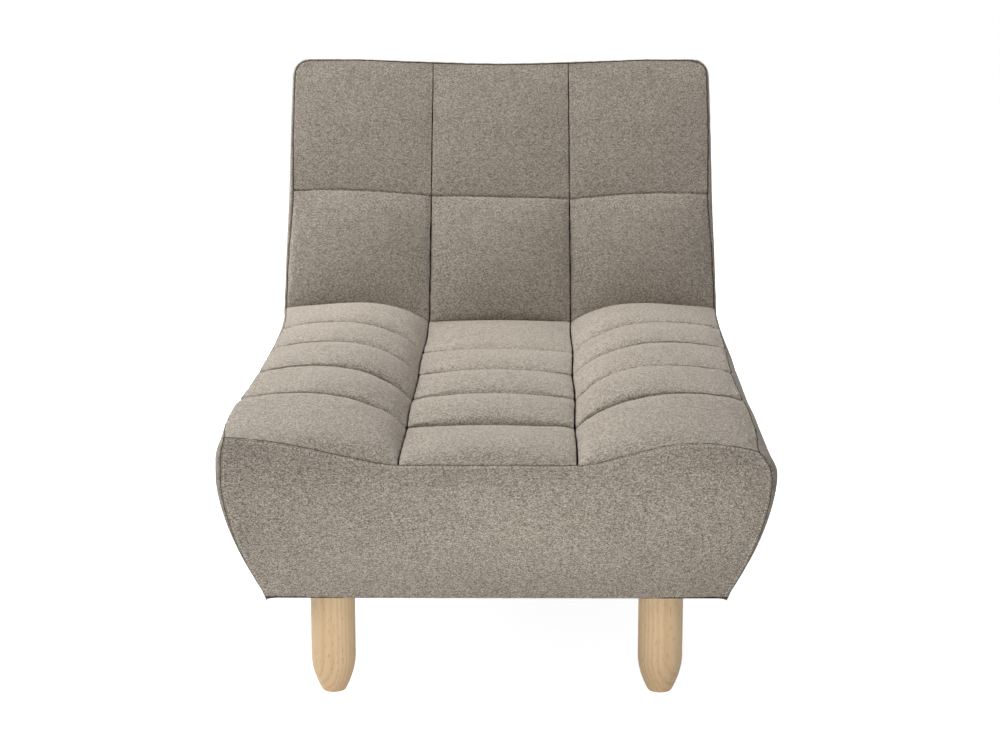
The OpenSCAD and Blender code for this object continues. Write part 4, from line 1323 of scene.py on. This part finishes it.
@dataclass
class Topstitch:
    """A row of short stitches that lie in a cover, a little way from a seam."""

    thread: bpy.types.Material
    gap: float = 0.0055
    pitch: float = 0.0054
    length: float = 0.0036
    radius: float = 0.00065
    taper: float = 0.96
    sink: float = 1.3
    rings: int = 5

    def build(self, name: str, line: np.ndarray, normal: np.ndarray) -> bpy.types.Object:
        """Lays the stitches.

        Args:
            name: the piece's name.
            line: points along the row.
            normal: the cover's outward normal at each point.

        Returns:
            The piece: spindles whose ends dip into the cloth, one every pitch.
        """
        run = run_of(line)
        centres = np.arange(self.pitch, run[-1] - self.pitch, self.pitch)
        station = np.linspace(-1.0, 1.0, self.rings)
        at = centres[:, None] + 0.5 * self.length * station[None, :]
        middle, up = read_line(at, run, line), read_line(at, run, normal)
        up /= np.linalg.norm(up, axis=2, keepdims=True)
        ahead = np.gradient(middle, axis=1)
        ahead /= np.linalg.norm(ahead, axis=2, keepdims=True)
        beside = np.cross(ahead, up)
        wide = self.radius * np.sqrt(np.maximum(1.0 - self.taper * station ** 2, 0.0))[None, :, None]
        dip = -self.radius * self.sink * (station ** 2)[None, :, None]
        angle = np.linspace(0.0, 2.0 * np.pi, TUBE_SIDES, endpoint=False)[:, None]
        ring = np.cos(angle) * beside[:, :, None, :] + np.sin(angle) * up[:, :, None, :]
        points = middle[:, :, None, :] + up[:, :, None, :] * dip[..., None] + ring * wide[..., None]
        first = self.rings * TUBE_SIDES * np.arange(len(centres))[:, None, None]
        faces = (tube_quads(self.rings)[None] + first).reshape(-1, 4)
        flat = points.reshape(-1, 3)
        piece = make_piece(name, flat, outward_quads(flat, faces), flat[:, :2], self.thread)
        log.info("%s: %d stitches", name, len(centres))
        return declared(piece)

    def beside(self, points: np.ndarray, outward: np.ndarray, edge: Edge) -> tuple[np.ndarray, np.ndarray]:
        """The line on a grid surface at the stitches' gap from one of its edges.

        Args:
            points: the surface's grid.
            outward: its normals.
            edge: the edge.

        Returns:
            Points and normals along the line.
        """
        distance = edge_distance(points, edge)
        grid = np.concatenate([points, outward], -1)
        if edge in (Edge.FIRST_ROW, Edge.LAST_ROW):
            distance, grid = distance.T, grid.transpose(1, 0, 2)
        if distance[0, 0] > distance[0, -1]:
            distance, grid = distance[:, ::-1], grid[:, ::-1]
        found = np.array([[np.interp(self.gap, away, line[:, axis]) for axis in range(6)]
                          for away, line in zip(distance, grid)])
        return found[:, :3], found[:, 3:]


@dataclass
class SeamShadeTube:
    """Thin dark tubes in the groove of a seam: painted shade that stands in for the shadow between the
    seam's folded edges.
    """

    # the dark material of the painted seam shade
    cloth: bpy.types.Material
    radius: float = 0.0011
    step: float = 0.004
    aside: tuple[float, float, float] = (0.3, -0.8, 0.52)

    def tube(self, line: np.ndarray) -> tuple[np.ndarray, np.ndarray]:
        """A closed tube along a line.

        Args:
            line: points along the seam.

        Returns:
            Its points, six round every station, and its quads.
        """
        run = run_of(line)
        middle = read_line(np.linspace(0.0, run[-1], max(int(run[-1] / self.step), 2)), run, line)
        ahead = np.gradient(middle, axis=0)
        beside = np.cross(ahead, self.aside)
        beside /= np.linalg.norm(beside, axis=1, keepdims=True)
        up = np.cross(beside, ahead)
        up /= np.linalg.norm(up, axis=1, keepdims=True)
        angle = np.linspace(0.0, 2.0 * np.pi, TUBE_SIDES, endpoint=False)[None, :, None]
        ring = np.cos(angle) * beside[:, None] + np.sin(angle) * up[:, None]
        return (middle[:, None] + self.radius * ring).reshape(-1, 3), tube_quads(len(middle))

    def build(self, name: str, lines: list[np.ndarray]) -> bpy.types.Object:
        """Makes one piece of the tubes along all the lines.

        Args:
            name: the piece's name.
            lines: points along each seam.

        Returns:
            The new piece.
        """
        tubes = [self.tube(line) for line in lines]
        first = np.cumsum([0] + [len(points) for points, _ in tubes])
        points = np.concatenate([points for points, _ in tubes])
        faces = np.concatenate([quads + start for (_, quads), start in zip(tubes, first)])
        piece = make_piece(name, points, outward_quads(points, faces), points[:, :2], self.cloth)
        log.info("%s: %d seams", name, len(lines))
        return declared(piece)


class Socket(Enum):
    """Kinds of socket of a node group."""

    VALUE = "NodeSocketFloat"
    PLACE = "NodeSocketVector"


class NodeSheet:
    """A node tree with short ways to add and join nodes."""

    def __init__(self, tree: bpy.types.NodeTree) -> None:
        """Keeps the tree, which starts empty."""
        self.tree = tree
        tree.nodes.clear()

    def add(self, kind: str, inputs: dict | None = None, **options: object) -> bpy.types.Node:
        """Adds a node.

        Args:
            kind: the node's type.
            inputs: a value for, or an output to join to, each named or numbered input.
            **options: the node's own settings.

        Returns:
            The node.
        """
        node = self.tree.nodes.new(kind)
        for name, value in options.items():
            setattr(node, name, value)
        self.feed(node, inputs or {})
        return node

    def feed(self, node: bpy.types.Node, inputs: dict) -> None:
        """Gives a node's inputs their values, or joins them to other nodes' outputs."""
        for name, value in inputs.items():
            if isinstance(value, bpy.types.NodeSocket):
                self.tree.links.new(value, node.inputs[name])
            else:
                node.inputs[name].default_value = value

    def finish(self, inputs: dict) -> None:
        """Adds a material's shader with these inputs, and its output."""
        shader = self.add("ShaderNodeBsdfPrincipled", inputs).outputs[0]
        self.add("ShaderNodeOutputMaterial", {"Surface": shader})

    def place(self) -> bpy.types.NodeSocket:
        """The place on the object, in metres."""
        return self.add("ShaderNodeTexCoord").outputs["Object"]

    def seen(self) -> bpy.types.NodeSocket:
        """1 for rays from the camera and for mirrored ones, else 0."""
        path = self.add("ShaderNodeLightPath").outputs
        return self.maths("MAXIMUM", path["Is Camera Ray"], path["Is Glossy Ray"])

    def maths(self, operation: str, a: object, b: object = 0.0) -> bpy.types.NodeSocket:
        """The result of a Math node."""
        return self.add("ShaderNodeMath", {0: a, 1: b}, operation=operation).outputs[0]

    def scaled(self, value: object, gain: float, level: object) -> bpy.types.NodeSocket:
        """A value times a gain, plus a level."""
        return self.maths("ADD", self.maths("MULTIPLY", value, gain), level)

    def stretched(self, place: bpy.types.NodeSocket, scale: tuple) -> bpy.types.NodeSocket:
        """A place times a scale of each direction."""
        return self.add("ShaderNodeVectorMath", {0: place, 1: scale}, operation="MULTIPLY").outputs[0]

    def length(self, place: bpy.types.NodeSocket) -> bpy.types.NodeSocket:
        """Distance of a place from the origin."""
        return self.add("ShaderNodeVectorMath", {0: place}, operation="LENGTH").outputs["Value"]

    def noise(self, place: bpy.types.NodeSocket, scale: tuple[float, float, float],
              detail: float = 2.0) -> bpy.types.NodeSocket:
        """Noise whose features are 1 / scale long in each direction."""
        return self.add("ShaderNodeTexNoise", {"Vector": self.stretched(place, scale), "Scale": 1.0,
                                               "Detail": detail, "Roughness": 0.55}).outputs["Fac"]

    def bump(self, height: bpy.types.NodeSocket, strength: float, distance: float,
             **options: object) -> bpy.types.NodeSocket:
        """Normals of a fine relief."""
        return self.add("ShaderNodeBump", {"Height": height, "Strength": strength, "Distance": distance},
                        **options).outputs["Normal"]

    def ramp(self, value: bpy.types.NodeSocket, stops: list[tuple[float, tuple]]) -> bpy.types.NodeSocket:
        """A colour ramp.

        Args:
            value: what the ramp reads, from 0 to 1.
            stops: the place and the colour of each stop, in order.

        Returns:
            The colour.
        """
        node = self.add("ShaderNodeValToRGB", {"Fac": value})
        elements = node.color_ramp.elements
        while len(elements) < len(stops):
            elements.new(0.5)
        for element, (place, colour) in zip(elements, stops):
            element.position = place
            element.color = (*colour, 1.0)
        return node.outputs["Color"]


def new_material(name: str) -> tuple[bpy.types.Material, NodeSheet]:
    """A new material and its empty sheet."""
    material = bpy.data.materials.new(name)
    material.use_nodes = True
    return material, NodeSheet(material.node_tree)


def give(node: bpy.types.Object, material: bpy.types.Material) -> None:
    """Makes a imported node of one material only."""
    node.data.materials.clear()
    node.data.materials.append(material)


def new_group(name: str, inputs: dict[str, Socket], outputs: dict[str, Socket]) -> tuple:
    """Makes an empty node group.

    Args:
        name: the group's name.
        inputs: its inputs.
        outputs: its outputs.

    Returns:
        The group's tree as a NodeSheet, its input node and its output node.
    """
    tree = bpy.data.node_groups.new(name, "ShaderNodeTree")
    for way, sockets in (("INPUT", inputs), ("OUTPUT", outputs)):
        for label, kind in sockets.items():
            tree.interface.new_socket(label, in_out=way, socket_type=kind.value)
    sheet = NodeSheet(tree)
    return sheet, sheet.add("NodeGroupInput"), sheet.add("NodeGroupOutput")


def yarn_tone(sheet: NodeSheet, along: bpy.types.NodeSocket, over: bpy.types.NodeSocket,
              run: float) -> bpy.types.NodeSocket:
    """Tone of the yarns that lie along one direction of a weave.

    Args:
        sheet: the tree.
        along: place along the yarns, in threads.
        over: place across them, in threads.
        run: how many crossings a tone lasts.

    Returns:
        A random tone from 0 to 1 for every stretch of every yarn, whose stretches start anywhere.
    """
    yarn = sheet.maths("FLOOR", over)
    start = sheet.add("ShaderNodeTexWhiteNoise", {"W": yarn}, noise_dimensions="1D").outputs["Value"]
    stretch = sheet.maths("FLOOR", sheet.maths("ADD", sheet.maths("DIVIDE", along, run), start))
    spot = sheet.add("ShaderNodeCombineXYZ", {0: stretch, 1: yarn, 2: run}).outputs[0]
    return sheet.add("ShaderNodeTexWhiteNoise", {"Vector": spot}, noise_dimensions="3D").outputs["Value"]


def weave_group() -> bpy.types.NodeTree:
    """The melange weave that every upholstery fabric shares.

    Returns:
        A group that takes a place in metres and gives Shade, 0 for dark yarns to 1 for pale ones,
        and Height, the threads' relief. At every crossing either the yarn that lies across or the
        one that lies along is on top, and slow noise drifts the tone.
    """
    sheet, given, made = new_group("melange_weave", {"Place": Socket.PLACE},
                                   {"Shade": Socket.VALUE, "Height": Socket.VALUE})
    place = given.outputs["Place"]
    threads = sheet.stretched(place, (1.0 / THREAD, 1.0 / THREAD, 1.0))
    x, y, _ = sheet.add("ShaderNodeSeparateXYZ", {0: threads}).outputs
    weft, warp = yarn_tone(sheet, x, y, WEFT_RUN), yarn_tone(sheet, y, x, WARP_RUN)
    waves = (sheet.maths("SINE", sheet.maths("MULTIPLY", at, np.pi)) for at in (x, y))
    knit = sheet.maths("MULTIPLY", *waves)
    on_top = sheet.add("ShaderNodeMath", {0: knit, 1: 2.0, 2: 0.35}, operation="MULTIPLY_ADD",
                       use_clamp=True).outputs[0]
    tone = sheet.add("ShaderNodeMix", {0: on_top, 2: weft, 3: warp}).outputs[0]
    shade = sheet.maths("SUBTRACT", tone, 0.5)
    for scale, gain in ((SLUB, 0.25), (CLOUD, 0.16)):
        drift = sheet.maths("SUBTRACT", sheet.noise(place, scale), 0.5)
        shade = sheet.scaled(drift, gain, shade)
    height = sheet.scaled(sheet.maths("ABSOLUTE", knit), 0.35, sheet.maths("MULTIPLY", tone, 0.3))
    sheet.feed(made, {"Shade": sheet.maths("ADD", shade, 0.5), "Height": height})
    return sheet.tree


@dataclass(frozen=True)
class WovenFabric:
    """Upholstery fabric: a melange of three yarn colours."""

    name: str
    dark: tuple[float, float, float] = (0.085, 0.068, 0.050)
    middle: tuple[float, float, float] = (0.345, 0.296, 0.243)
    pale: tuple[float, float, float] = (0.720, 0.650, 0.565)
    relief: float = 0.0004

    def build(self, weave: bpy.types.NodeTree) -> bpy.types.Material:
        """Makes the material.

        Args:
            weave: the group of the melange weave.

        Returns:
            The material, whose pattern follows the piece's own cloth map.
        """
        material, sheet = new_material(self.name)
        place = sheet.add("ShaderNodeUVMap", uv_map="cloth").outputs["UV"]
        cloth = sheet.add("ShaderNodeGroup", node_tree=weave)
        sheet.feed(cloth, {"Place": place})
        shade, height = cloth.outputs["Shade"], cloth.outputs["Height"]
        tones = [(0.0, self.dark), (0.5, self.middle), (1.0, self.pale)]
        sheet.finish({"Base Color": sheet.ramp(shade, tones),
                      "Roughness": sheet.scaled(shade, -0.08, 0.93),
                      "Normal": sheet.bump(height, 0.45, self.relief),
                      "Sheen Weight": 0.12, "Sheen Roughness": 0.5, "Specular IOR Level": 0.15})
        return material


@dataclass(frozen=True)
class PlainFinish:
    """A finish with fine grain: foam, felt, webbing, hardboard, dust cloth, thread, steel, or the painted
    shade in the seams.
    """

    name: str
    colour: tuple[float, float, float]
    vary: float = 0.12
    grain: tuple[float, float, float] = (400.0, 400.0, 400.0)
    roughness: float = 0.9
    metallic: float = 0.0
    relief: float = 0.0003

    def build(self) -> bpy.types.Material:
        """Makes the material.

        Returns:
            The colour, varied and roughened by stretched noise.
        """
        material, sheet = new_material(self.name)
        grain = sheet.noise(sheet.place(), self.grain, 3.0)
        low = tuple(c * (1.0 - self.vary) for c in self.colour)
        high = tuple(min(c * (1.0 + self.vary), 1.0) for c in self.colour)
        sheet.finish({"Base Color": sheet.ramp(grain, [(0.3, low), (0.7, high)]),
                      "Roughness": self.roughness, "Metallic": self.metallic,
                      "Normal": sheet.bump(grain, 0.4, self.relief)})
        return material


@dataclass(frozen=True)
class Timber:
    """Wood: growth rings round an axis beside the piece, streaks along the grain and dark pores."""

    name: str
    early: tuple[float, float, float] = (0.960, 0.720, 0.450)
    late: tuple[float, float, float] = (0.850, 0.580, 0.325)
    pore: tuple[float, float, float] = (0.470, 0.285, 0.145)
    heart: tuple[float, float, float] = (0.0, 0.0, 0.0)
    grain: tuple[float, float, float] = (1.0, 1.0, 0.08)
    ring: float = 0.0055
    roughness: float = 0.48

    def build(self) -> bpy.types.Material:
        """Makes the material.

        Returns:
            Wood whose rings are a sine of the distance from the heart, bent by noise. Its grain runs
            along the axis with the smallest grain value.
        """
        material, sheet = new_material(self.name)
        moved = sheet.add("ShaderNodeMapping", {"Vector": sheet.place(),
                                                "Location": tuple(-h for h in self.heart)}).outputs[0]
        drawn = sheet.stretched(moved, self.grain)
        wavy = sheet.scaled(sheet.noise(drawn, (34.0,) * 3), 0.010, sheet.length(drawn))
        rings = sheet.maths("SINE", sheet.maths("MULTIPLY", wavy, 2.0 * np.pi / self.ring))
        late = sheet.maths("POWER", sheet.maths("MULTIPLY", sheet.maths("ADD", rings, 1.0), 0.5), 2.2)
        streak = sheet.noise(drawn, (260.0,) * 3, 3.0)
        tone = sheet.scaled(late, 0.42, sheet.maths("MULTIPLY", streak, 0.55))
        colour = sheet.ramp(tone, [(0.12, self.early), (0.78, self.late)])
        dashes = sheet.noise(drawn, (820.0, 820.0, 1100.0), 1.0)
        pores = sheet.ramp(dashes, [(0.63, (0.0,) * 3), (0.74, (0.62,) * 3)])
        mixed = sheet.add("ShaderNodeMix", {0: pores, 6: colour, 7: (*self.pore, 1.0)},
                          data_type="RGBA").outputs[2]
        sheet.finish({"Base Color": mixed, "Roughness": sheet.scaled(streak, 0.12, self.roughness),
                      "Normal": sheet.bump(dashes, 0.25, 0.0002, invert=True),
                      "Specular IOR Level": 0.35})
        return material


@dataclass
class Legs:
    """The four turned legs, each with its own grain."""

    ring_offset: float = 0.050

    def dress(self, nodes: dict[str, bpy.types.Object]) -> None:
        """Gives each leg wood whose heart lies beside it, on a side of its own."""
        turns = {"leg_front_left": 0.6, "leg_front_right": 2.4, "leg_rear_left": 3.9, "leg_rear_right": 5.3}
        for name, turn in turns.items():
            low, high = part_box(name)
            centre = (low + high) / 2.0
            away = Vector((np.cos(turn), np.sin(turn), 0.0)) * self.ring_offset
            give(nodes[name], Timber(f"{name}_wood", heart=tuple(centre + away)).build())
            log.info("%s: turned wood", name)


@dataclass
class InnerWorks:
    """The frame, springs, padding and fasteners that the covers hide."""

    def finishes(self) -> dict[str, bpy.types.Material]:
        """Makes the finishes.

        Returns:
            One material for each hidden material slot of the record.
        """
        return {
            "timber": Timber("sawn_timber", early=(0.62, 0.46, 0.27), late=(0.50, 0.35, 0.19),
                             grain=(0.08, 1.0, 1.0), roughness=0.7).build(),
            "hardboard": PlainFinish("hardboard", (0.22, 0.125, 0.06), 0.2).build(),
            "steel": PlainFinish("zinc_steel", (0.52, 0.53, 0.55), 0.08, roughness=0.35,
                                 metallic=1.0).build(),
            "foam": PlainFinish("seat_foam", (0.80, 0.74, 0.58), 0.08, (900.0, 900.0, 900.0)).build(),
            "felt": PlainFinish("spring_felt", (0.13, 0.12, 0.11), 0.35).build(),
            "webbing": PlainFinish("back_webbing", (0.03, 0.03, 0.033), 0.3, (90.0, 900.0, 900.0)).build(),
        }

    def dress(self, nodes: dict[str, bpy.types.Object], record: dict) -> None:
        """Gives every hidden node the finish of its slot.

        Args:
            nodes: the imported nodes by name.
            record: the record, whose subparts name each node's slot.
        """
        finishes = self.finishes()
        for part in record["subparts"]:
            finish = finishes.get(part["material_slot"])
            if finish is not None:
                give(nodes[part["node"]], finish)
        log.info("inner works: %d finishes", len(finishes))


@dataclass
class Underside:
    """The thin dark cloth under the body."""

    form: Form
    thickness: float = 0.0012
    sag: float = 0.004
    side_rim: float = 0.0055
    front_rim: float = 0.0105
    lift: float = 0.0006
    across: int = 150
    along: int = 200

    def build(self, cloth: bpy.types.Material) -> bpy.types.Object:
        """Builds the cloth.

        Args:
            cloth: what it is made of.

        Returns:
            The piece: the node's outline, out to the covers' edges, sagging between the rails.
        """
        low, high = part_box("dust_cover")
        low = low - Vector((self.side_rim, self.front_rim, 0.0))
        high = high + Vector((self.side_rim, 0.0, 0.0))
        x = np.linspace(low.x, high.x, self.across)[None, :]
        y = np.linspace(low.y, high.y, self.along)[:, None]
        u, v = (x - low.x) / (high.x - low.x), (y - low.y) / (high.y - low.y)
        hang = self.sag * pillow(clamped((u - 0.08) / 0.84), 1.0) * pillow(clamped((v - 0.06) / 0.88), 0.7)
        z = low.z + self.lift - hang * (1.0 + 0.25 * ripple(x, y, 0.12, 121))
        points = np.stack(np.broadcast_arrays(x, y, z), -1)
        piece = Surface.sheet(points, -np.array(UP), self.thickness).build("underside_cloth", cloth)
        declared(piece, "dust_cover")
        log.info("underside cloth: %d faces", len(piece.data.polygons))
        return piece


@dataclass
class Studio:
    """Camera, floor and soft lights."""

    focal: float = 85.2
    camera_x: float = 0.022
    camera_back: float = 3.20
    camera_height: float = 1.20
    pitch: float = 12.45
    yaw: float = 0.3
    floor_size: float = 14.0
    near_glow: float = 0.92
    glow_reach: tuple[float, float] = (0.7, 2.2)
    ambient: float = 0.10
    lamps: tuple = (("overhead", (0.0, 0.3, 3.0), (0.0, 0.0, 0.4), (3.0, 3.0), 45.0),
                    ("high_left", (-2.0, 2.0, 2.7), (0.0, 0.0, 0.4), (1.6, 1.6), 87.0),
                    ("left", (-2.8, 0.3, 1.9), (0.0, 0.0, 0.4), (1.5, 1.5), 36.0),
                    ("front_low", (0.06, -1.42, 0.30), (0.04, -0.7, 0.26), (0.3, 0.2), 2.1),
                    ("front_high", (0.0, -3.2, 2.9), (0.0, 0.0, 0.4), (2.4, 1.4), 21.0))

    def camera(self, form: Form) -> None:
        """Sets the camera at the photograph's place and angle."""
        lens = bpy.data.cameras.new("camera")
        lens.lens = self.focal
        lens.sensor_fit = "HORIZONTAL"
        camera = placed("camera", lens)
        camera.location = (self.camera_x, form.y_seam - self.camera_back, self.camera_height)
        camera.rotation_euler = (np.radians(90.0 - self.pitch), 0.0, np.radians(self.yaw))
        bpy.context.scene.camera = camera

    def lamp(self, name: str, place: tuple, aim: tuple, size: tuple[float, float], power: float) -> None:
        """Adds a soft rectangular lamp that the camera doesn't see.

        Args:
            name: the lamp's name.
            place: where it hangs.
            aim: the point that it faces.
            size: its width and height, in metres.
            power: its power, in watts.
        """
        light = bpy.data.lights.new(name, "AREA")
        light.shape = "RECTANGLE"
        light.size, light.size_y = size
        light.energy = power
        lamp = placed(name, light)
        lamp.visible_camera = False
        lamp.location = place
        lamp.rotation_euler = (Vector(aim) - Vector(place)).to_track_quat("-Z", "Y").to_euler()

    def floor(self) -> None:
        """Lays a pale floor that the camera sees as white, with the object's soft shadow on it. Its own
        glow towards the camera grows with the distance from the object."""
        half = self.floor_size / 2.0
        corners = [(-half, -half, 0.0), (half, -half, 0.0), (half, half, 0.0), (-half, half, 0.0)]
        mesh = bpy.data.meshes.new("floor")
        mesh.from_pydata(corners, [], [(0, 1, 2, 3)])
        material, sheet = new_material("floor_paint")
        near, far = self.glow_reach
        grown = sheet.add("ShaderNodeMapRange", {"Value": sheet.length(sheet.place()), "From Min": near,
                                                 "From Max": far, "To Min": self.near_glow, "To Max": 1.0},
                          interpolation_type="SMOOTHSTEP").outputs["Result"]
        paint = sheet.add("ShaderNodeBsdfDiffuse", {"Color": (0.86, 0.86, 0.86, 1.0)}).outputs[0]
        glow = sheet.add("ShaderNodeEmission", {"Color": WHITE, "Strength": grown}).outputs[0]
        both = sheet.add("ShaderNodeAddShader", {0: paint, 1: glow}).outputs[0]
        shown = sheet.add("ShaderNodeMixShader", {0: sheet.seen(), 1: paint, 2: both}).outputs[0]
        sheet.add("ShaderNodeOutputMaterial", {"Surface": shown})
        mesh.materials.append(material)
        placed("floor", mesh)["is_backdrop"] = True

    def world(self) -> None:
        """A grey surrounding light that the camera sees as white."""
        world = bpy.data.worlds.new("surround")
        bpy.context.scene.world = world
        world.use_nodes = True
        sheet = NodeSheet(world.node_tree)
        ambient, white = (
            sheet.add("ShaderNodeBackground", {"Color": WHITE, "Strength": strength}).outputs[0]
            for strength in (self.ambient, 1.0))
        shown = sheet.add("ShaderNodeMixShader", {0: sheet.seen(), 1: ambient, 2: white}).outputs[0]
        sheet.add("ShaderNodeOutputWorld", {"Surface": shown})

    def build(self, form: Form) -> None:
        """Sets up the whole studio."""
        bpy.context.scene.view_settings.view_transform = "Standard"
        self.camera(form)
        self.floor()
        self.world()
        for lamp in self.lamps:
            self.lamp(*lamp)
        log.info("studio: ready")


def main() -> None:
    """Builds the chaise around its frame, piece by piece."""
    logging.basicConfig(level=logging.INFO, format="%(message)s")
    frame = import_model()
    form = Form.from_frame()
    fabric = WovenFabric("taupe_melange").build(weave_group())
    # dark tubes along every seam of the seat and the back: painted shade for the seams' grooves
    seam_shade = SeamShadeTube(PlainFinish("painted_seam_shade", (0.060, 0.050, 0.040), 0.1).build())
    for make, name in ((SeatStrip, "seat_seam_shade"), (BackStrip, "back_seam_shade")):
        strips = [make(form, fabric, side=side) for side in (None, Side.LEFT, Side.RIGHT)]
        for strip in strips:
            strip.build()
        seam_shade.build(name, [line for strip in strips for line in strip.seams])
    boxing = SideBoxing(form, fabric, Sewing(roll=form.boxing_roll))
    for side in Side:
        boxing.build(side)
    _, sewn, outward = FrontPanel(form, fabric, Sewing(roll=0.0018)).build()
    # the same painted seam shade along the front panel's top and side seams
    SeamShadeTube(seam_shade.cloth, radius=0.0008).build("front_seam_shade", [sewn[-1], sewn[:, 0], sewn[:, -1]])
    TopBoxing(form, fabric, Sewing(roll=form.boxing_roll)).build()
    RearPanel(form, fabric).build()
    stitch = Topstitch(PlainFinish("stitch_thread", (0.72, 0.67, 0.59), 0.05).build())
    for edge, word in ((Edge.LAST_ROW, "top"), (Edge.FIRST_COLUMN, "left"), (Edge.LAST_COLUMN, "right")):
        stitch.build(f"front_topstitch_{word}", *stitch.beside(sewn, outward, edge))
    Underside(form).build(PlainFinish("dust_cloth", (0.012, 0.012, 0.014), 0.4).build())
    Legs().dress(frame["nodes"])
    InnerWorks().dress(frame["nodes"], frame["record"])
    Studio().build(form)


if __name__ == "__main__":
    main()
